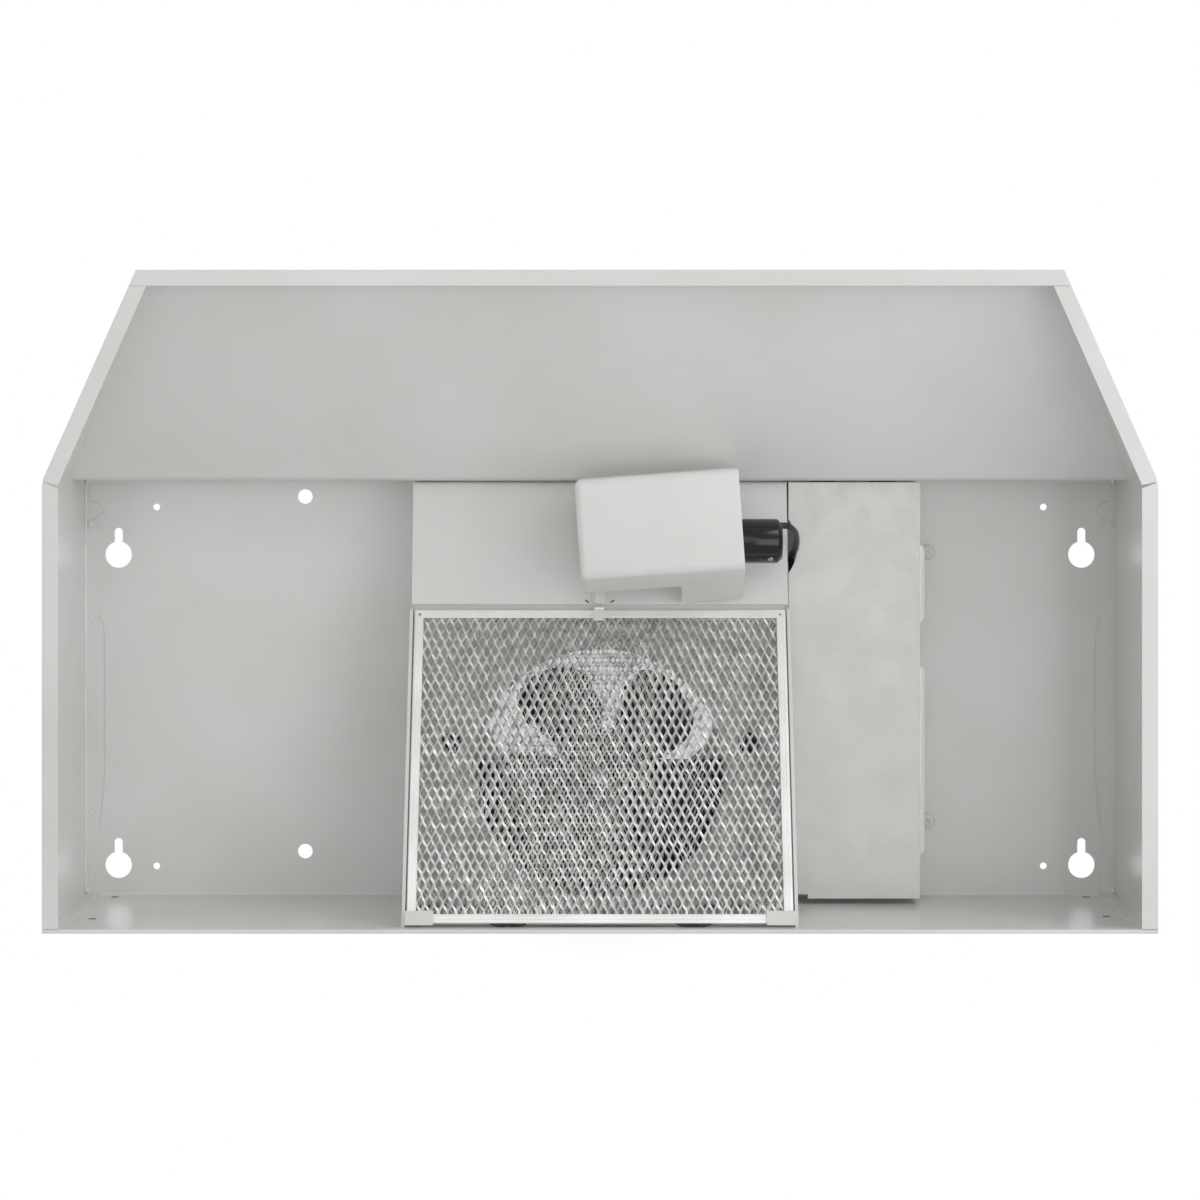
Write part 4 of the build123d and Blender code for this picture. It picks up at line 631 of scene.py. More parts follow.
CAD_FINISHES: dict[Finish, tuple[str, ...]] = {
    ENAMEL: (
        "hood_shell",
        "left_side_panel",
        "right_side_panel",
        "fan_housing",
        "housing_cheeks",
        "lens_strap",
        "filter_corner_clips",
        "cover_screws",
        "knockouts",
    ),
    GalvanisedSheet(): ("wiring_cover", "lamp_bracket", "lens_hangers", "plug_bracket"),
    ALUMINIUM: ("filter_frame", "filter_pull_tab", "bulb_cap"),
    MESH_ALUMINIUM: ("filter_mesh_lower", "filter_mesh_upper"),
    BLACKENED_AND_SHADE: ("filter_springs",),
    PLATED: ("lens_hinge_pin", "fan_clip", "motor_screws", "motor_shaft"),
    STYRENE: ("light_lens",),
    PHENOLIC: ("lamp_socket",),
    # motor_bracket's black also paints the shade of the hollow behind the fan's lower half.
    LACQUER_AND_SHADE: ("fan_wheel", "motor_bracket"),
    DrawnBrass(): ("socket_screw_shell", "bearing_bushes"),
    FrostedGlass(): ("light_bulb",),
    WoundCopper(): ("motor_coil",),
    StackedLaminations(): ("motor_stack", "motor_rotor"),
    DieCastZinc(): ("motor_bridges",),
    VINYL: ("lamp_leads", "motor_leads", "lead_grommet"),
    NaturalNylon(): ("motor_plug", "wire_connectors"),
    GreenPassivate(): ("ground_screw",),
    SparkedNylon(): SWITCH_NODES,
}


def dress_cad_nodes() -> None:
    """Give every CAD node the finish of its real material, which on some nodes also paints shade."""
    for finish, names in CAD_FINISHES.items():
        for name in names:
            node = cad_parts[name]
            node.data.materials.clear()
            node.data.materials.append(finish.material())
            LOG.info("node %s of %s gets %s", name, finish.slot.value, finish.name)


# ---------------------------------------------------------------- mesh helpers


def finish_piece(
    name: str, mesh: Mesh, finish: Finish, body: str, place: Matrix | None = None, smooth: bool = False
) -> bpy.types.Object:
    """Turn a bmesh in millimetres into a piece of the object.

    Args:
        name: The piece's name.
        mesh: Its shape, in millimetres; it is freed here.
        finish: What it is made of.
        body: The CAD body that it moves with.
        place: Where it goes, as a matrix in millimetres.
        smooth: Whether its faces shade as one smooth surface, up to the angle of a real edge.

    Returns:
        The new object, at the origin, with its place in its mesh.
    """
    if place is not None:
        bmesh.ops.transform(mesh, matrix=place, verts=mesh.verts)
    bmesh.ops.scale(mesh, vec=(MM, MM, MM), verts=mesh.verts)
    for face in mesh.faces:
        face.smooth = smooth
    if smooth:
        for edge in mesh.edges:
            edge.smooth = len(edge.link_faces) == 2 and edge.calc_face_angle(0.0) < SMOOTH_BELOW
    data = bpy.data.meshes.new(name)
    mesh.to_mesh(data)
    mesh.free()
    data.materials.append(finish.material())
    piece = bpy.data.objects.new(name, data)
    bpy.context.scene.collection.objects.link(piece)
    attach(piece, body)
    LOG.info("piece %s rides on %s, %d faces", name, body, len(data.polygons))
    return piece


def turned(degrees: float, axis: str) -> Matrix:
    """Matrix of a turn by some degrees about X, Y or Z."""
    return Matrix.Rotation(math.radians(degrees), 4, axis)


def outward(mesh: Mesh) -> None:
    """Close doubled points and turn every face outwards."""
    bmesh.ops.remove_doubles(mesh, verts=mesh.verts, dist=WELD_GAP)
    bmesh.ops.recalc_face_normals(mesh, faces=mesh.faces)


def thicken(mesh: Mesh, way: Point) -> None:
    """Give a sheet its thickness along one direction.

    Args:
        mesh: The open sheet.
        way: How far and where its second face lies.
    """
    result = bmesh.ops.extrude_face_region(mesh, geom=list(mesh.faces), use_keep_orig=True)
    verts = [item for item in result["geom"] if isinstance(item, bmesh.types.BMVert)]
    bmesh.ops.translate(mesh, vec=way, verts=verts)
    bmesh.ops.recalc_face_normals(mesh, faces=mesh.faces)


def round_edges(mesh: Mesh, edges: list[bmesh.types.BMEdge], radius: float, segments: int) -> None:
    """Round some edges of a mesh.

    Args:
        mesh: The mesh.
        edges: Its edges that get round.
        radius: Radius of the rounding.
        segments: Faces across it.
    """
    bmesh.ops.bevel(
        mesh, geom=edges, offset=radius, segments=segments, profile=0.5, affect="EDGES", material=-1
    )


def lathe(profile: Profile, segments: int = 48) -> Mesh:
    """Turn a profile about Z.

    Args:
        profile: Radius and height of each point, along one side.
        segments: Faces round the full turn.

    Returns:
        The turned mesh.
    """
    mesh = bmesh.new()
    verts = [mesh.verts.new((radius, 0, height)) for radius, height in profile]
    geometry = [*verts, *(mesh.edges.new(pair) for pair in zip(verts, verts[1:]))]
    bmesh.ops.spin(
        mesh,
        geom=geometry,
        cent=(0, 0, 0),
        axis=(0, 0, 1),
        angle=math.tau,
        steps=segments,
        use_merge=True,
    )
    outward(mesh)
    return mesh


def rounded_block(low: Point, high: Point, radius: float, segments: int = 3) -> Mesh:
    """A block with rounded edges.

    Args:
        low: Its corner with the lowest X, Y and Z.
        high: The corner across from it.
        radius: Radius of its edges.
        segments: Faces across an edge's rounding.

    Returns:
        The block's mesh.
    """
    mesh = bmesh.new()
    bmesh.ops.create_cube(mesh, size=1.0)
    bmesh.ops.scale(mesh, vec=Vector(high) - Vector(low), verts=mesh.verts)
    bmesh.ops.translate(mesh, vec=(Vector(high) + Vector(low)) / 2, verts=mesh.verts)
    round_edges(mesh, list(mesh.edges), radius, segments)
    return mesh


def gather(parts: Iterable[tuple[Mesh, Matrix]]) -> Mesh:
    """Put meshes together, each in its place.

    Args:
        parts: The meshes, which are freed here, and where each goes.

    Returns:
        One mesh of them all.
    """
    whole = bmesh.new()
    for part, place in parts:
        bmesh.ops.transform(part, matrix=place, verts=part.verts)
        data = bpy.data.meshes.new("part")
        part.to_mesh(data)
        part.free()
        whole.from_mesh(data)
        bpy.data.meshes.remove(data)
    return whole


def carve(target: Mesh, tool: Mesh) -> Mesh:
    """Cut one mesh out of another.

    Args:
        target: The mesh that is cut; it is freed here.
        tool: The mesh that cuts; it is freed here.

    Returns:
        What is left of the target.
    """
    pair = []
    for name, mesh in (("carved", target), ("carver", tool)):
        data = bpy.data.meshes.new(name)
        mesh.to_mesh(data)
        mesh.free()
        item = bpy.data.objects.new(name, data)
        bpy.context.scene.collection.objects.link(item)
        pair.append(item)
    carved, carver = pair
    cut = carved.modifiers.new("cut", "BOOLEAN")
    cut.operation = "DIFFERENCE"
    cut.solver = "EXACT"
    cut.object = carver
    result = bmesh.new()
    result.from_object(carved, bpy.context.evaluated_depsgraph_get())
    for item in pair:
        data = item.data
        bpy.data.objects.remove(item)
        bpy.data.meshes.remove(data)
    return result


def curve_value(points: Profile, at: float) -> float:
    """Value of a smooth curve through points.

    Args:
        points: Place and value of each point, in rising order of place.
        at: The place that is asked for.

    Returns:
        The curve's value there.
    """
    last = len(points) - 1
    i = max(j for j in range(last) if points[j][0] <= max(at, points[0][0]))
    before, start, end, after = [points[min(max(j, 0), last)][1] for j in (i - 1, i, i + 1, i + 2)]
    t = min(max((at - points[i][0]) / (points[i + 1][0] - points[i][0]), 0.0), 1.0)
    rise, fall = (end - before) / 2, (after - start) / 2
    bend = 2 * start - 2 * end + rise + fall
    return ((bend * t + (3 * (end - start) - 2 * rise - fall)) * t + rise) * t + start


def sweep(path: Path, radius: float, steps: int = 8) -> Mesh:
    """A round rod along a smooth curve through points.

    Args:
        path: The points.
        radius: Radius of the rod.
        steps: Rings from one point to the next.

    Returns:
        The rod's mesh, closed at both ends.
    """
    curves = [tuple((float(i), point[axis]) for i, point in enumerate(path)) for axis in range(3)]
    count = (len(path) - 1) * steps
    line = [Vector([curve_value(curve, i / steps) for curve in curves]) for i in range(count + 1)]
    mesh = bmesh.new()
    ring: list[bmesh.types.BMEdge] = []
    for i, spot in enumerate(line):
        way = line[min(i + 1, count)] - line[max(i - 1, 0)]
        place = Matrix.Translation(spot) @ way.to_track_quat("Z", "Y").to_matrix().to_4x4()
        circle = bmesh.ops.create_circle(
            mesh, cap_ends=i in (0, count), radius=radius, segments=ROD_FACES, matrix=place
        )
        edges = list(dict.fromkeys(edge for vert in circle["verts"] for edge in vert.link_edges))
        if ring:
            bmesh.ops.bridge_loops(mesh, edges=[*ring, *edges])
        ring = edges
    outward(mesh)
    return mesh


# ---------------------------------------------------------------- grease filter


@dataclass(frozen=True)
class NetLayer:
    """One layer of stretched mesh: where it lies and how it differs from its neighbours.

    The strand is what is left between two slits, the knot the uncut corner where strands meet,
    squeeze the share of a hole's length that stays open, and wander how far the strands lie from
    their even places.
    """

    height: float
    turn: float
    stretch: Pair
    shift: Pair
    strand: float
    knot: float
    squeeze: float
    wander: float


@dataclass
class GreaseFilter:
    """The grease filter: a mitred channel frame round layers of stretched aluminium mesh.

    It is built flat, with its rear edge on X and its front towards negative Y, and then put on its
    slope. Its front and rear are given as Y and Z in the hood, and strip_steps as the insets and
    rises of the frame strip from its outer fold inwards. Strands lie calm about the calm spot and
    wander more the farther they are from it: the two values of a push are its size there and its
    growth over the calm reach. The noise that moves them is seeded, because it follows the clock
    otherwise.
    """

    width: float = 266.2
    thickness: float = 5.0
    front: Pair = (11.0, 94.6)
    rear: Pair = (221.4, 10.2)
    sheet: float = 0.5
    fold: float = 1.2
    fold_steps: int = 4
    edge_inset: float = 0.001
    strip_steps: Profile = (
        (1.1, 0.0),
        (0.3, -0.3),
        (0.3, 0.3),
        (2.2, 0.0),
        (0.3, -0.3),
        (0.3, 0.3),
        (0.5, 0.0),
        (0.25, -0.1),
        (0.1, -0.5),
    )
    mirror_gap: float = 0.01
    hole_inset: float = 4.0
    hole_radius: float = 0.9
    hole_depth: float = 2.4
    dimples: Path = ((-88.6, -3.4, -0.8), (-14.4, -3.4, -0.8), (68.6, -3.4, -0.8))
    dimple_radius: float = 1.15
    spring_x: Pair = (-63.0, 64.8)
    spring_length: float = 24.5
    spring_bow: float = 2.8
    spring_width: float = 3.0
    spring_lift: float = 0.8
    spring_steps: int = 28
    diamond_width: float = 6.1
    diamond_length: float = 12.9
    diamond_count: int = 46
    scrap_area: float = 9.0
    strand_lean: float = 0.07
    foil: float = 0.35
    frame_gap: float = 0.5
    calm_spot: Pair = (69.0, -66.0)
    calm_reach: float = 110.0
    wander_length: float = 45.0
    quick_ratio: float = 9.0
    slow_push: Pair = (0.5, 1.0)
    quick_push: Pair = (0.2, 0.5)
    quick_lift: float = 0.25
    held_edge: float = 12.0
    rear_gap: float = 0.8
    seed: int = 7
    layer_step: float = 10.0
    layers: tuple[NetLayer, ...] = (
        NetLayer(1.3, 0.0, (1.0, 1.0), (0.0, 0.0), 0.34, 1.15, 0.74, 0.6),
        NetLayer(2.4, -2.2, (0.83, 0.9), (1.1, 1.7), 0.2, 0.3, 0.96, 2.4),
        NetLayer(3.3, 0.35, (0.972, 1.004), (0.2, 0.2), 0.26, 1.0, 0.76, 0.9),
    )

    @property
    def length(self) -> float:
        """Length of the filter along its slope."""
        return math.hypot(self.rear[0] - self.front[0], self.front[1] - self.rear[1])

    @property
    def place(self) -> Matrix:
        """Matrix from the flat filter to its slope in the hood."""
        angle = math.atan2(self.front[1] - self.rear[1], self.rear[0] - self.front[0])
        return Matrix.Translation((0, *self.rear)) @ Matrix.Rotation(-angle, 4, "X")

    def build(self) -> None:
        """Make the frame, the mesh layers and the leaf springs."""
        field.seed_set(self.seed)
        channel = finish_piece("filter_channel", self.channel(), ALUMINIUM, "filter", self.place, smooth=True)
        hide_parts("filter_frame")
        nodes = {0: "filter_mesh_lower", len(self.layers) - 1: "filter_mesh_upper"}
        for i, layer in enumerate(self.layers):
            name = f"filter_net_{i + 1}"
            piece = finish_piece(name, self.net(layer), MESH_ALUMINIUM, "filter", self.place)
            if i in nodes:
                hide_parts(nodes[i])
        # The springs' dark filled bows paint the shade of the gap behind them.
        springs = finish_piece("filter_spring_bows_painted_shade", self.springs(), BLACKENED_AND_SHADE, "filter", self.place)
        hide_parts("filter_springs")

    def channel(self) -> Mesh:
        """Frame strip folded to a rounded channel, with two pressed lines and mitred corners.

        Returns:
            The frame's mesh, flat.
        """
        mesh = bmesh.new()
        bmesh.ops.create_grid(mesh, x_segments=1, y_segments=1, size=0.5)
        bmesh.ops.scale(mesh, vec=(self.width, self.length, 1), verts=mesh.verts)
        inner = list(mesh.faces)
        steps = [(self.edge_inset, self.thickness / 2 - self.fold)]
        for i in range(self.fold_steps):
            start, end = [math.radians(90 * j / self.fold_steps) for j in (i, i + 1)]
            inset, rise = math.cos(start) - math.cos(end), math.sin(end) - math.sin(start)
            steps.append((self.fold * inset, self.fold * rise))
        for inset, rise in (*steps, *self.strip_steps):
            bmesh.ops.inset_region(
                mesh, faces=inner, thickness=inset, depth=rise, use_even_offset=True, use_boundary=True
            )
        bmesh.ops.delete(mesh, geom=inner, context="FACES")
        geometry = [*mesh.verts, *mesh.edges, *mesh.faces]
        bmesh.ops.mirror(mesh, geom=geometry, axis="Z", merge_dist=self.mirror_gap)
        outward(mesh)
        bmesh.ops.translate(mesh, vec=(0, -self.length / 2, self.thickness / 2), verts=mesh.verts)
        bmesh.ops.solidify(mesh, geom=list(mesh.faces), thickness=self.sheet)
        return carve(mesh, self.punch_marks())

    def punch_marks(self) -> Mesh:
        """Small holes at the corners and dents in the rear strip.

        Returns:
            A mesh that cuts them.
        """
        mesh = bmesh.new()
        half, front = self.width / 2 - self.hole_inset, self.hole_inset - self.length
        for x, y in ((-half, -self.hole_inset), (half, -self.hole_inset), (-half, front), (half, front)):
            bmesh.ops.create_cone(
                mesh,
                cap_ends=True,
                segments=16,
                radius1=self.hole_radius,
                radius2=self.hole_radius,
                depth=self.hole_depth,
                matrix=Matrix.Translation((x, y, 0)),
            )
        for spot in self.dimples:
            place = Matrix.Translation(spot)
            bmesh.ops.create_uvsphere(
                mesh, u_segments=16, v_segments=10, radius=self.dimple_radius, matrix=place
            )
        return mesh

    def net(self, layer: NetLayer) -> Mesh:
        """One layer of stretched mesh, cut to the frame.

        Args:
            layer: Where the layer lies.

        Returns:
            The layer's mesh, flat.
        """
        mesh = bmesh.new()
        cells = self.diamond_count * 2
        bmesh.ops.create_grid(mesh, x_segments=cells, y_segments=cells, size=self.diamond_count)
        across = layer.stretch[0] * self.diamond_width / math.sqrt(2)
        along = layer.stretch[1] * self.diamond_length / math.sqrt(2)
        middle = (self.calm_spot[0] + layer.shift[0], self.calm_spot[1] + layer.shift[1], 0)
        place = Matrix.Translation(middle) @ turned(layer.turn, "Z")
        place = place @ Matrix.Diagonal((across, along, 1, 1)) @ turned(45, "Z")
        bmesh.ops.transform(mesh, matrix=place, verts=mesh.verts)
        self.trim(mesh)
        scraps = [face for face in mesh.faces if face.calc_area() < self.scrap_area]
        bmesh.ops.delete(mesh, geom=scraps, context="FACES")
        knots = [vert for vert in mesh.verts if not vert.is_boundary]
        bmesh.ops.bevel(
            mesh, geom=knots, offset=layer.knot, segments=1, profile=0.5, affect="VERTICES", material=-1
        )
        holes = [face for face in mesh.faces if face.calc_area() > self.scrap_area]
        bmesh.ops.inset_individual(mesh, faces=holes, thickness=layer.strand)
        for hole in holes:
            centre = hole.calc_center_median()
            for vert in hole.verts:
                offset = vert.co.y - centre.y
                vert.co.y = centre.y + layer.squeeze * offset
                vert.co.z += self.strand_lean * offset
        bmesh.ops.delete(mesh, geom=holes, context="FACES_ONLY")
        self.warp(mesh, layer)
        bmesh.ops.translate(mesh, vec=(0, 0, layer.height), verts=mesh.verts)
        thicken(mesh, (0, 0, self.foil))
        return mesh

    def trim(self, mesh: Mesh) -> None:
        """Cut a sheet to the inside of the channel frame.

        Args:
            mesh: The flat sheet.
        """
        edge = self.sheet + self.frame_gap
        half = self.width / 2 - edge
        for place, normal in (
            ((half, 0, 0), (1, 0, 0)),
            ((-half, 0, 0), (-1, 0, 0)),
            ((0, -edge, 0), (0, 1, 0)),
            ((0, edge - self.length, 0), (0, -1, 0)),
        ):
            geometry = [*mesh.verts, *mesh.edges, *mesh.faces]
            bmesh.ops.bisect_plane(mesh, geom=geometry, plane_co=place, plane_no=normal, clear_outer=True)

    def warp(self, mesh: Mesh, layer: NetLayer) -> None:
        """Shift the strands softly, as stretched foil never lies quite even.

        Args:
            mesh: The flat layer.
            layer: The layer, whose height picks its own pattern.
        """
        apart = self.layer_step * layer.height
        for vert in mesh.verts:
            at = Vector((vert.co.x, vert.co.y, 0)) / self.wander_length
            slow = field.noise_vector(at + Vector((0, 0, apart)))
            quick = field.noise_vector(at * self.quick_ratio + Vector((0, 0, 2 * apart)))
            held = min(1.0, (self.width / 2 - abs(vert.co.x)) / self.held_edge)
            away = min(1.0, math.dist(vert.co.xy, self.calm_spot) / self.calm_reach)
            slow_size, quick_size = [push[0] + push[1] * away for push in (self.slow_push, self.quick_push)]
            push = held * layer.wander * (slow_size * slow + quick_size * quick)
            vert.co.x += push.x
            vert.co.y += min(push.y, -self.rear_gap - vert.co.y)
            vert.co.z += self.quick_lift * quick.z

    def springs(self) -> Mesh:
        """Two bowed leaf springs on the rear edge, each filled in behind with a dark sheet that paints the
        shade of the gap there.

        Returns:
            The springs' mesh, flat.
        """
        bows = []
        for x in self.spring_x:
            bow = bmesh.new()
            bmesh.ops.create_grid(bow, x_segments=self.spring_steps, y_segments=1, size=1.0)
            for vert in bow.verts:
                along, side = vert.co.x, (vert.co.y + 1) / 2
                rise = side * self.spring_bow * (1 - along * along)
                vert.co = (x + along * self.spring_length / 2, rise, 0)
            outward(bow)
            thicken(bow, (0, 0, self.spring_width))
            bows.append((bow, Matrix.Translation((0, 0, self.spring_lift))))
        return gather(bows)


# ---------------------------------------------------------------- fan


@dataclass
class FanWheel:
    """Pressed steel fan wheel: five dished blades riveted to a spider on a hub.

    The reach gives the blade's outer edge as angle and radius, the hub and the rivet head are turned
    profiles, and each rivet is given by its angle from the blade's middle and its radius.
    """

    centre: Point = (0.0, 129.5, 98.0)
    blades: int = 5
    first_blade: float = 26.5
    pitch: float = 18.0
    root_radius: float = 23.0
    twist_length: float = 16.0
    sheet: float = 1.3
    dish: float = 2.6
    edge_round: float = 0.4
    sharp_angle: float = 60.0
    grid: tuple[int, int] = (14, 18)
    reach: Profile = (
        (-29.0, 64.0),
        (-23.5, 79.0),
        (-12.0, 84.5),
        (0.0, 84.2),
        (12.5, 80.0),
        (22.0, 68.5),
        (30.0, 48.0),
    )
    hub: Profile = (
        (2.5, -11.2),
        (8.9, -11.2),
        (9.5, -10.6),
        (9.5, -3.4),
        (11.5, -1.5),
        (21.0, -1.5),
        (23.0, -2.2),
        (27.0, -2.2),
        (30.4, -1.4),
        (31.0, -0.8),
        (31.0, 0.8),
        (30.4, 1.4),
        (11.5, 1.4),
        (9.5, 2.6),
        (9.5, 4.2),
        (8.9, 4.8),
        (2.5, 4.8),
        (2.5, -11.2),
    )
    rivets: Profile = ((-16.0, 27.0), (0.0, 28.5), (16.0, 27.0))
    rivet_head: Profile = (
        (0.0, -4.0),
        (1.4, -3.8),
        (2.3, -3.1),
        (2.7, -2.2),
        (2.7, 0.0),
        (2.2, 2.4),
        (1.2, 2.9),
        (0.0, 3.0),
    )

    def build(self) -> None:
        """Make the wheel as one painted piece."""
        parts = [(lathe(self.hub, 64), Matrix())]
        for i in range(self.blades):
            turn = turned(self.first_blade + i * 360 / self.blades, "Z")
            parts.append((self.blade(), turn))
            for angle, radius in self.rivets:
                spot = turned(angle, "Z") @ Matrix.Translation((radius, 0, 0))
                parts.append((lathe(self.rivet_head, 16), turn @ spot))
        place = Matrix.Translation(self.centre)
        piece = finish_piece("fan_wheel_pressed", gather(parts), LACQUER_AND_SHADE, "fan", place, smooth=True)
        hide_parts("fan_wheel")

    def blade(self) -> Mesh:
        """One blade along X, twisted from its flat root to its pitch and dished.

        Returns:
            The blade's mesh.
        """
        mesh = bmesh.new()
        bmesh.ops.create_grid(mesh, x_segments=self.grid[0], y_segments=self.grid[1], size=1.0)
        first, last = self.reach[0][0], self.reach[-1][0]
        for vert in mesh.verts:
            share, side = (vert.co.x + 1) / 2, (vert.co.y + 1) / 2
            angle = first + side * (last - first)
            radius = self.root_radius + share * (curve_value(self.reach, angle) - self.root_radius)
            grow = min(1.0, (radius - self.root_radius) / self.twist_length)
            grow = grow * grow * (3 - 2 * grow)
            x, y = radius * math.cos(math.radians(angle)), radius * math.sin(math.radians(angle))
            bow = self.dish * (1 - (2 * side - 1) ** 2)
            vert.co = (x, y, grow * (-y * math.tan(math.radians(self.pitch)) - bow))
        outward(mesh)
        bmesh.ops.solidify(mesh, geom=list(mesh.faces), thickness=self.sheet)
        sharp = math.radians(self.sharp_angle)
        rim = [edge for edge in mesh.edges if edge.calc_face_angle(0.0) > sharp]
        round_edges(mesh, rim, self.edge_round, 2)
        return mesh


# ---------------------------------------------------------------- lamp


@dataclass
class LampLens:
    """White moulded lens: a soft-cornered tray, open at the top and towards the socket.

    It is built square, with its front left corner at the origin of X and Y, and then turned.
    """

    corner: Point = (-18.0, -82.6, 0.0)
    turn: float = -4.08
    length: float = 113.8
    floor_depth: float = 68.4
    rim_depth: float = 94.0
    floor_z: float = 22.0
    rim_z: float = 88.0
    wall: float = 1.6
    fold_round: float = 5.0
    step_low: Point = (-10.0, 60.4, 52.0)
    step_high: Point = (70.0, 104.0, 108.0)
    step_round: float = 5.0
    ears: Pair = (14.0, 99.8)
    hinge: Point = (0.0, 10.0, 90.0)
    ear_ring: Profile = (
        (1.6, -1.4),
        (4.1, -1.4),
        (4.4, -1.1),
        (4.4, 1.1),
        (4.1, 1.4),
        (1.6, 1.4),
        (1.6, -1.4),
    )
    web_low: Point = (-1.3, 0.6, 76.0)
    web_high: Point = (1.3, 7.4, 88.4)
    web_round: float = 0.5

    def build(self) -> None:
        """Make the tray and its two hinge ears as one moulding."""
        step = rounded_block(self.step_low, self.step_high, self.step_round, 6)
        parts = [(carve(self.tray(), step), Matrix())]
        parts += [(self.ear(), Matrix.Translation((x, 0, 0))) for x in self.ears]
        place = Matrix.Translation(self.corner) @ turned(self.turn, "Z")
        piece = finish_piece("light_lens_moulding", gather(parts), STYRENE, "lens", place, smooth=True)
        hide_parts("light_lens")

    def tray(self) -> Mesh:
        """The tray with its walls.

        Returns:
            The tray's mesh.
        """
        mesh = bmesh.new()
        bmesh.ops.create_cube(mesh, size=1.0)
        for vert in mesh.verts:
            rim = vert.co.z > 0
            depth = self.rim_depth if rim else self.floor_depth
            z = self.rim_z if rim else self.floor_z
            vert.co = ((vert.co.x + 0.5) * self.length, (vert.co.y + 0.5) * depth, z)
        openings = [face for face in mesh.faces if face.normal.z > 0.9 or face.normal.x > 0.9]
        bmesh.ops.delete(mesh, geom=openings, context="FACES")
        round_edges(mesh, [edge for edge in mesh.edges if len(edge.link_faces) == 2], self.fold_round, 7)
        outward(mesh)
        bmesh.ops.solidify(mesh, geom=list(mesh.faces), thickness=self.wall)
        return mesh

    def ear(self) -> Mesh:
        """Hinge ear in the plane X = 0, with the hole for the pin.

        Returns:
            The ear's mesh.
        """
        upright = Matrix.Translation(self.hinge) @ turned(90, "Y")
        web = rounded_block(self.web_low, self.web_high, self.web_round, 2)
        return gather([(lathe(self.ear_ring, 32), upright), (web, Matrix())])


@dataclass
class LampSocket:
    """Moulded screw-lamp socket with a foot and two side terminals, and the sleeve of its leads.

    The barrel is a turned profile, with a chamfered rear end and a shallow ring near its front.
    """

    front: Point = (90.0, -39.3, 58.0)
    barrel: Profile = (
        (0.0, 38.0),
        (12.2, 38.0),
        (12.6, 37.85),
        (15.3, 35.0),
        (15.6, 34.5),
        (15.6, 9.2),
        (15.35, 8.9),
        (15.35, 7.7),
        (15.6, 7.4),
        (15.6, 0.7),
        (15.1, 0.0),
        (14.0, 0.0),
        (13.7, 0.4),
        (13.7, 31.0),
        (0.0, 31.0),
    )
    foot_low: Point = (101.0, -46.3, 71.9)
    foot_high: Point = (117.0, -32.3, 74.4)
    foot_round: float = 0.6
    terminal_angles: Pair = (-39.0, 141.0)
    terminal_spot: Point = (0.0, 15.6, 29.5)
    terminal_head: Profile = ((0.0, 0.9), (1.5, 0.8), (2.0, 0.4), (2.0, -1.0), (0.0, -1.0))
    slit_low: Point = (-3.0, -0.3, 0.35)
    slit_high: Point = (3.0, 0.3, 2.0)
    slit_round: float = 0.05
    sleeve_radius: float = 2.3
    sleeve_path: Path = (
        (122.0, -50.0, 57.0),
        (128.0, -50.2, 57.5),
        (133.0, -49.4, 62.0),
        (138.5, -45.0, 75.0),
        (140.8, -38.0, 92.0),
        (140.8, -31.0, 108.0),
        (139.0, -25.0, 122.0),
        (141.0, -12.0, 128.0),
    )

    @property
    def place(self) -> Matrix:
        """Matrix from a shape turned about Z to the socket's axis along X."""
        return Matrix.Translation(self.front) @ turned(90, "Y")

    def build(self) -> None:
        """Make the moulding, its terminal screws and the sleeve."""
        foot = rounded_block(self.foot_low, self.foot_high, self.foot_round)
        moulding = gather([(lathe(self.barrel, 96), self.place), (foot, Matrix())])
        socket = finish_piece("lamp_socket_moulding", moulding, PHENOLIC, "root", smooth=True)
        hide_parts("lamp_socket")
        self.add_terminals()
        self.add_sleeve()

    def add_terminals(self) -> None:
        """Put a slotted terminal screw in each flank, near the rear end."""
        screws = []
        for angle in self.terminal_angles:
            slit = rounded_block(self.slit_low, self.slit_high, self.slit_round, 1)
            head = carve(lathe(self.terminal_head, 24), slit)
            flank = turned(angle, "Z") @ Matrix.Translation(self.terminal_spot) @ turned(-90, "X")
            screws.append((head, self.place @ flank))
        finish_piece("socket_terminal_screws", gather(screws), PLATED, "root", smooth=True)

    def add_sleeve(self) -> None:
        """Run the thick sleeve of both leads from the socket into the wiring cover's notch."""
        sleeve = sweep(self.sleeve_path, self.sleeve_radius)
        piece = finish_piece("lamp_lead_sleeve", sleeve, VINYL, "root", smooth=True)
        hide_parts("lamp_leads")


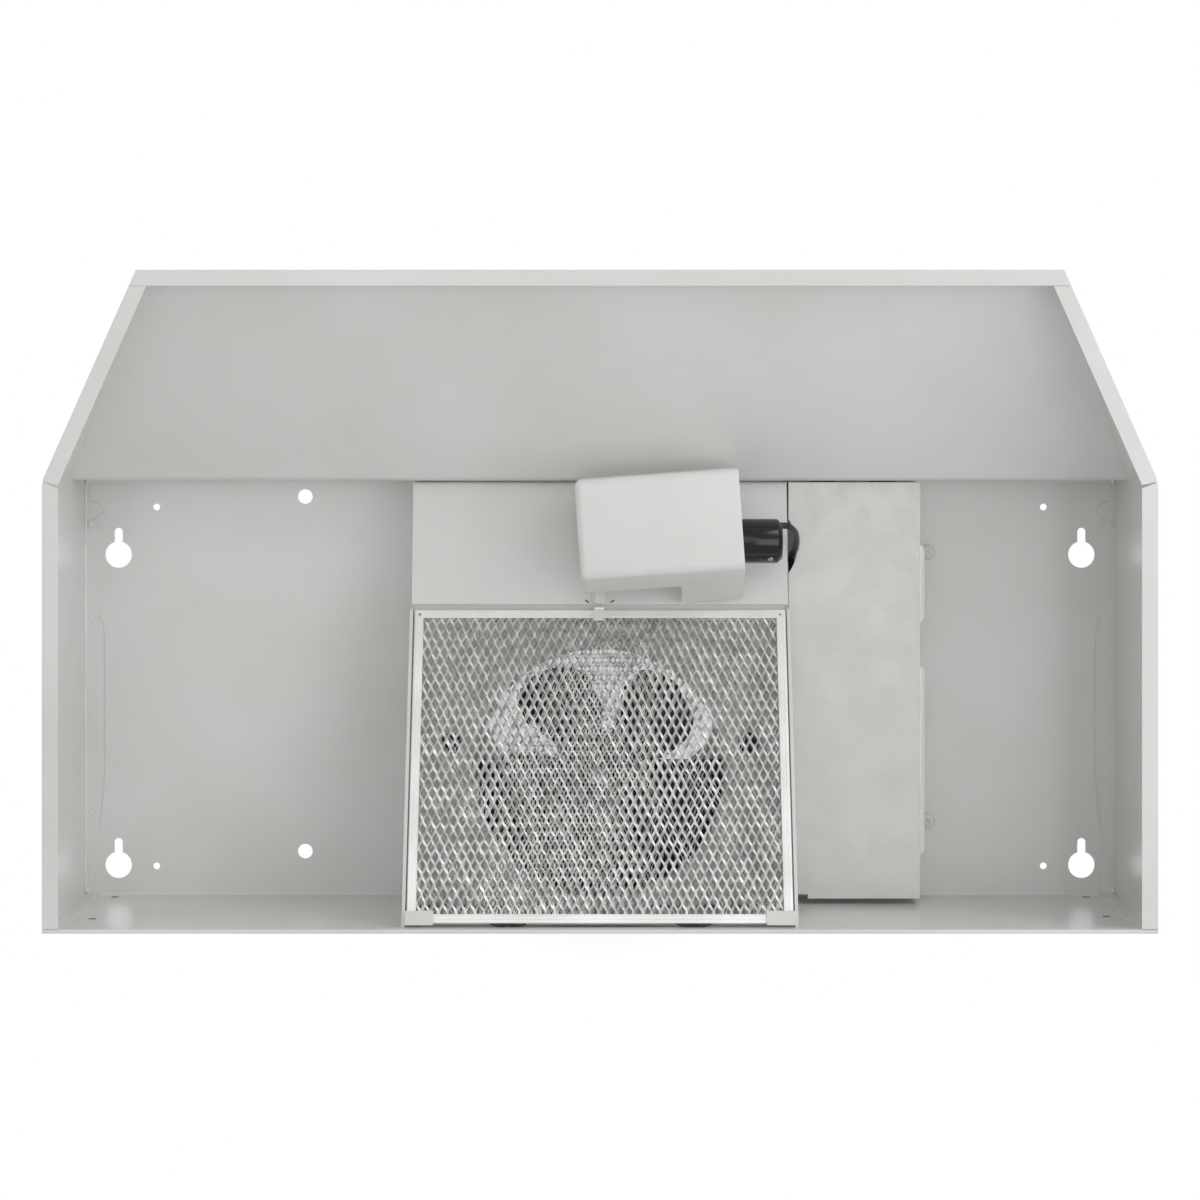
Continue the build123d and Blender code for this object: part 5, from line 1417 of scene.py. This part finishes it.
@dataclass
class LensStrap:
    """The strap that runs from behind the lamp to the filter, and the two lances that locate it, drawn as
    small black slots that paint their shade.

    The strap is given by its two ends along Y and its two levels in Z: it is as wide as its width at
    the lower level and spreads to its foot at the upper one. Each lance is given by X and lean.
    """

    width: float = 6.2
    foot: float = 13.0
    ends: Pair = (-11.0, 10.6)
    levels: Pair = (-3.6, 0.2)
    edge_round: float = 0.4
    spot: Point = (0.3, -3.0, 96.9)
    slope: float = -10.3
    turn: float = 3.5
    lances: Profile = ((-9.3, -52.0), (8.9, 52.0))
    lance_low: Point = (-0.5, -1.6, -0.12)
    lance_high: Point = (0.5, 1.6, 0.1)
    lance_round: float = 0.08
    lance_y: float = 5.4
    lance_z: float = 95.36

    def build(self) -> None:
        """Make the strap, with sloping flanks, and the black slots that paint the lances' shade."""
        (front, rear), (low, high) = self.ends, self.levels
        strap = rounded_block((-self.width / 2, front, low), (self.width / 2, rear, high), self.edge_round, 2)
        for vert in strap.verts:
            share = (vert.co.z - low) / (high - low)
            vert.co.x *= 1 + share * (self.foot / self.width - 1)
        place = Matrix.Translation(self.spot) @ turned(self.slope, "X") @ turned(self.turn, "Z")
        piece = finish_piece("lens_strap_pressing", strap, ENAMEL, "root", place, smooth=True)
        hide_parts("lens_strap")
        slots = []
        for x, lean in self.lances:
            slot = rounded_block(self.lance_low, self.lance_high, self.lance_round, 1)
            spot = Matrix.Translation((x, self.lance_y, self.lance_z))
            slots.append((slot, spot @ turned(self.slope, "X") @ turned(lean, "Z")))
        # Black slots: painted shade of the two lances.
        finish_piece("strap_lance_painted_shade", gather(slots), LACQUER_AND_SHADE, "root")


# ---------------------------------------------------------------- sheet metal details


@dataclass
class CoverTrim:
    """Trim of the wiring cover: two dome-headed screws and the lips of its outer edge, with their highlight
    painted pale.

    Each screw is given by its Y and how far its recess is turned, and each lip by its span along Y.
    """

    screw_x: float = 241.9
    screw_z: float = 150.6
    screws: Profile = ((-27.8, 20.0), (170.4, 65.0))
    dome_radius: float = 5.5
    dome_height: float = 2.6
    dome_steps: int = 8
    shank: Profile = ((2.0, 0.0), (2.0, 1.4), (0.0, 1.4))
    recess_low: Point = (-2.4, -0.45, -4.0)
    recess_high: Point = (2.4, 0.45, -1.4)
    recess_round: float = 0.12
    lip_spans: Profile = ((-34.0, 21.0), (54.0, 189.5))
    lip_spot: Point = (231.5, 0.0, 112.0)
    lip_width: float = 3.6
    lip_sheet: float = 0.35
    lip_round: float = 0.15
    lip_tilt: float = -32.0

    def build(self) -> None:
        """Make the screws and the lips."""
        screws = []
        for y, turn in self.screws:
            place = Matrix.Translation((self.screw_x, y, self.screw_z)) @ turned(turn, "Z")
            screws.append((self.screw(), place))
        piece = finish_piece("cover_dome_screws", gather(screws), ENAMEL, "root", smooth=True)
        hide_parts("cover_screws")
        place = Matrix.Translation(self.lip_spot) @ turned(self.lip_tilt, "Y")
        lips = []
        for start, end in self.lip_spans:
            low, high = (0.0, start, -self.lip_sheet), (self.lip_width, end, 0.0)
            lips.append((rounded_block(low, high, self.lip_round, 2), place))
        # The lips' pale finish is a painted highlight.
        finish_piece("cover_lips_painted_highlight", gather(lips), PAINTED_HIGHLIGHT, "root", smooth=True)

    def screw(self) -> Mesh:
        """One dome-headed screw with a cross recess.

        Returns:
            The screw's mesh, with its dome towards negative Z.
        """
        angles = [math.radians(90 * i / self.dome_steps) for i in range(1, self.dome_steps)]
        dome = [(self.dome_radius * math.sin(t), -self.dome_height * math.cos(t)) for t in angles]
        head = lathe(((0.0, -self.dome_height), *dome, (self.dome_radius, 0.0), *self.shank), 40)
        for angle in (0.0, 90.0):
            bar = rounded_block(self.recess_low, self.recess_high, self.recess_round, 1)
            head = carve(head, gather([(bar, turned(angle, "Z"))]))
        return head


@dataclass
class SheetDetails:
    """Weld marks and ridges of the folded sheets, black slots and cups that paint shade, and pale beads that
    paint light.

    Slots in the back are given by X and Z, and ridge lines by X and Y on the right side. The weld
    mark and the cup are turned profiles.
    """

    back_slots: Profile = ((-356.8, 143.5), (-356.4, 53.0), (357.5, 63.0), (357.5, 143.0))
    slot_half: Pair = (2.6, 0.7)
    slot_y: Pair = (225.55, 225.85)
    slot_round: float = 0.12
    weld_x: float = 374.5
    weld_y: tuple[float, ...] = (-48.0, 20.0, 92.0, 164.0, 212.0)
    weld_z: float = 150.55
    weld_mark: Profile = (
        (0.0, -0.02),
        (1.6, -0.02),
        (2.1, -0.16),
        (2.7, -0.2),
        (3.2, -0.02),
        (3.2, 0.05),
        (0.0, 0.05),
    )
    hole: Point = (107.0, 107.5, 100.6)
    cup: Profile = (
        (0.0, 3.4),
        (8.8, 3.4),
        (9.4, 2.8),
        (9.4, 0.0),
        (8.5, 0.0),
        (8.5, 2.2),
        (8.0, 2.6),
        (0.0, 2.6),
    )
    bead_x: float = 378.6
    bead_y: Pair = (-79.6, 222.6)
    bead_z: float = 150.4
    bead_radius: float = 1.5
    crease: Path = ((-379.6, -78.0, 150.9), (-379.6, 70.0, 150.9), (-379.6, 222.0, 150.9))
    ridge_radius: float = 0.45
    ridge_z: float = 151.25
    ridge_lines: tuple[Profile, ...] = (
        (
            (376.7, -77.9),
            (376.3, -66.1),
            (370.0, -63.9),
            (367.1, -58.0),
            (371.5, -52.8),
            (375.9, -49.8),
            (375.2, -47.3),
            (367.8, -47.3),
        ),
        (
            (370.0, -21.8),
            (370.8, 7.8),
            (370.0, 18.8),
            (365.9, 29.9),
            (365.2, 81.6),
            (365.6, 140.7),
            (371.5, 192.4),
            (372.2, 214.6),
        ),
    )

    def build(self) -> None:
        """Make every detail."""
        self.add_back_slots()
        self.add_weld_marks()
        self.add_hole_cups()
        self.add_corner_beads()
        self.add_ridges()

    def add_back_slots(self) -> None:
        """Four short black marks low and high in the back panel, near its ends, that paint the shade in its
        slots.
        """
        (half_x, half_z), (front, rear) = self.slot_half, self.slot_y
        slots = []
        for x, z in self.back_slots:
            low, high = (x - half_x, front, z - half_z), (x + half_x, rear, z + half_z)
            slots.append((rounded_block(low, high, self.slot_round, 1), Matrix()))
        # Black marks: painted shade of the back panel's slots.
        finish_piece("back_panel_slot_painted_shade", gather(slots), LACQUER_AND_SHADE, "root", smooth=True)

    def add_weld_marks(self) -> None:
        """Shallow spot-weld dents along the side panels' flanges under the ceiling."""
        marks = []
        for side in Side:
            for y in self.weld_y:
                place = Matrix.Translation((side.value * self.weld_x, y, self.weld_z))
                marks.append((lathe(self.weld_mark, 24), place))
        finish_piece("flange_weld_marks", gather(marks), ENAMEL, "root", smooth=True)

    def add_hole_cups(self) -> None:
        """Two black cups over the service holes beside the fan inlet, which paint the holes' shade."""
        x, y, z = self.hole
        cups = [(lathe(self.cup, 40), Matrix.Translation((side.value * x, y, z))) for side in Side]
        # Black cups: painted shade of the service holes.
        finish_piece("service_hole_painted_shade_cups", gather(cups), LACQUER_AND_SHADE, "root", smooth=True)

    def add_corner_beads(self) -> None:
        """A bright bead in each upper corner that paints a point of light there, and a bead along the left
        crease that paints its highlight.
        """
        beads = bmesh.new()
        for side in Side:
            for y in self.bead_y:
                place = Matrix.Translation((side.value * self.bead_x, y, self.bead_z))
                bmesh.ops.create_icosphere(beads, subdivisions=2, radius=self.bead_radius, matrix=place)
        whole = gather([(beads, Matrix()), (sweep(self.crease, self.ridge_radius), Matrix())])
        # Pale beads: painted light in the corners and a painted highlight along the crease.
        finish_piece("corner_painted_light_beads", whole, PAINTED_HIGHLIGHT, "root", smooth=True)

    def add_ridges(self) -> None:
        """Low ridges where the side panels' flanges step under the ceiling sheet."""
        ridges = []
        for side in Side:
            for line in self.ridge_lines:
                path = tuple((side.value * x, y, self.ridge_z) for x, y in line)
                ridges.append((sweep(path, self.ridge_radius, 5), Matrix()))
        finish_piece("flange_joggle_ridges", gather(ridges), ENAMEL, "root", smooth=True)


# ---------------------------------------------------------------- studio


@dataclass(frozen=True)
class Softbox:
    """A square light: where it stands, its side, its watts and the point that it faces, in metres.

    A fill stands for light that comes back from a room, so it casts no shadow.
    """

    name: str
    place: Point
    side: float
    power: float
    target: Point = (0.0, 0.0, 0.05)
    shadow: bool = True


@dataclass
class Studio:
    """Camera, lights, sky and floor, in metres.

    The sky is even but for a soft grey patch in the way of the duct: duct_light is its strength
    there, and duct_core and duct_rim say how far from that way it starts and ends to blend out.
    """

    camera_place: Point = (0.0, -0.1104, -1.838)
    lens_mm: float = 80.79
    sensor_mm: float = 36.0
    shift_up: float = -0.1333
    far_end: float = 50.0
    floor_height: float = -2.15
    floor_size: float = 12.0
    sky_light: float = 1.0
    duct_way: Point = (0.0, 0.098, 1.0)
    duct_core: float = 0.05
    duct_rim: float = 0.093
    duct_light: float = 0.62
    softboxes: tuple[Softbox, ...] = (
        Softbox("key_softbox", (1.1, 0.1, -1.7), 1.0, 5.6),
        Softbox("side_softbox", (1.5, 0.0, -0.95), 1.0, 2.2),
        Softbox("left_fill", (-0.55, -0.3, -1.95), 0.9, 3.8, shadow=False),
        Softbox("low_fill", (0.25, -0.45, -1.95), 0.9, 2.3, shadow=False),
        Softbox("front_softbox", (2.2, -2.0, -1.9), 1.8, 27.0),
        Softbox("top_softbox", (-0.8, -1.2, 2.2), 1.6, 7.0, target=(0.0, 0.0, 0.1)),
    )

    def build(self) -> None:
        """Set the whole studio up."""
        self.add_camera()
        self.add_sky()
        for softbox in self.softboxes:
            self.add_light(softbox)
        self.add_floor()

    def add_camera(self) -> None:
        """Put the camera straight below the hood, looking up, as in the photograph."""
        data = bpy.data.cameras.new("photo_camera")
        data.lens = self.lens_mm
        data.sensor_width = self.sensor_mm
        data.shift_y = self.shift_up
        data.dof.use_dof = False
        data.clip_end = self.far_end
        camera = bpy.data.objects.new("photo_camera", data)
        camera.location = self.camera_place
        camera.rotation_euler = (math.pi, 0.0, 0.0)
        bpy.context.scene.collection.objects.link(camera)
        bpy.context.scene.camera = camera

    def add_sky(self) -> None:
        """Surround the scene with white light, softly greyer where a duct would stand over the fan."""
        world = bpy.data.worlds.new("white_studio")
        world.use_nodes = True
        tree = world.node_tree
        background = tree.nodes["Background"]
        way = add_node(tree, "ShaderNodeTexCoord").outputs["Generated"]
        settings = {"operation": "DISTANCE", 1: Vector(self.duct_way).normalized()}
        apart = add_node(tree, "ShaderNodeVectorMath", settings, {0: way}).outputs["Value"]
        settings = {
            "interpolation_type": "SMOOTHSTEP",
            "From Min": self.duct_core,
            "From Max": self.duct_rim,
            "To Min": self.duct_light,
            "To Max": self.sky_light,
        }
        light = add_node(tree, "ShaderNodeMapRange", settings, {"Value": apart}).outputs["Result"]
        tree.links.new(light, background.inputs["Strength"])
        background.inputs["Color"].default_value = (1.0, 1.0, 1.0, 1.0)
        bpy.context.scene.world = world
        bpy.context.scene.view_settings.view_transform = "Standard"

    def add_light(self, softbox: Softbox) -> None:
        """Add a square softbox.

        Args:
            softbox: Where it stands and how bright it is.
        """
        data = bpy.data.lights.new(softbox.name, "AREA")
        data.shape = "SQUARE"
        data.size = softbox.side
        data.energy = softbox.power
        data.use_shadow = softbox.shadow
        light = bpy.data.objects.new(softbox.name, data)
        light.location = softbox.place
        way = Vector(softbox.target) - Vector(softbox.place)
        light.rotation_euler = way.to_track_quat("-Z", "Y").to_euler()
        bpy.context.scene.collection.objects.link(light)

    def add_floor(self) -> None:
        """Lay a plain pale floor below the camera."""
        mesh = bmesh.new()
        bmesh.ops.create_grid(mesh, x_segments=1, y_segments=1, size=self.floor_size / 2)
        bmesh.ops.translate(mesh, vec=(0, 0, self.floor_height), verts=mesh.verts)
        data = bpy.data.meshes.new("studio_floor")
        mesh.to_mesh(data)
        mesh.free()
        data.materials.append(PaleFloor().material())
        floor = bpy.data.objects.new("studio_floor", data)
        bpy.context.scene.collection.objects.link(floor)


def main() -> None:
    """Dress the CAD nodes, build each sub-assembly and set up the studio."""
    dress_cad_nodes()
    GreaseFilter().build()
    FanWheel().build()
    LampLens().build()
    LampSocket().build()
    CoverTrim().build()
    LensStrap().build()
    SheetDetails().build()
    Studio().build()


if __name__ == "__main__":
    main()
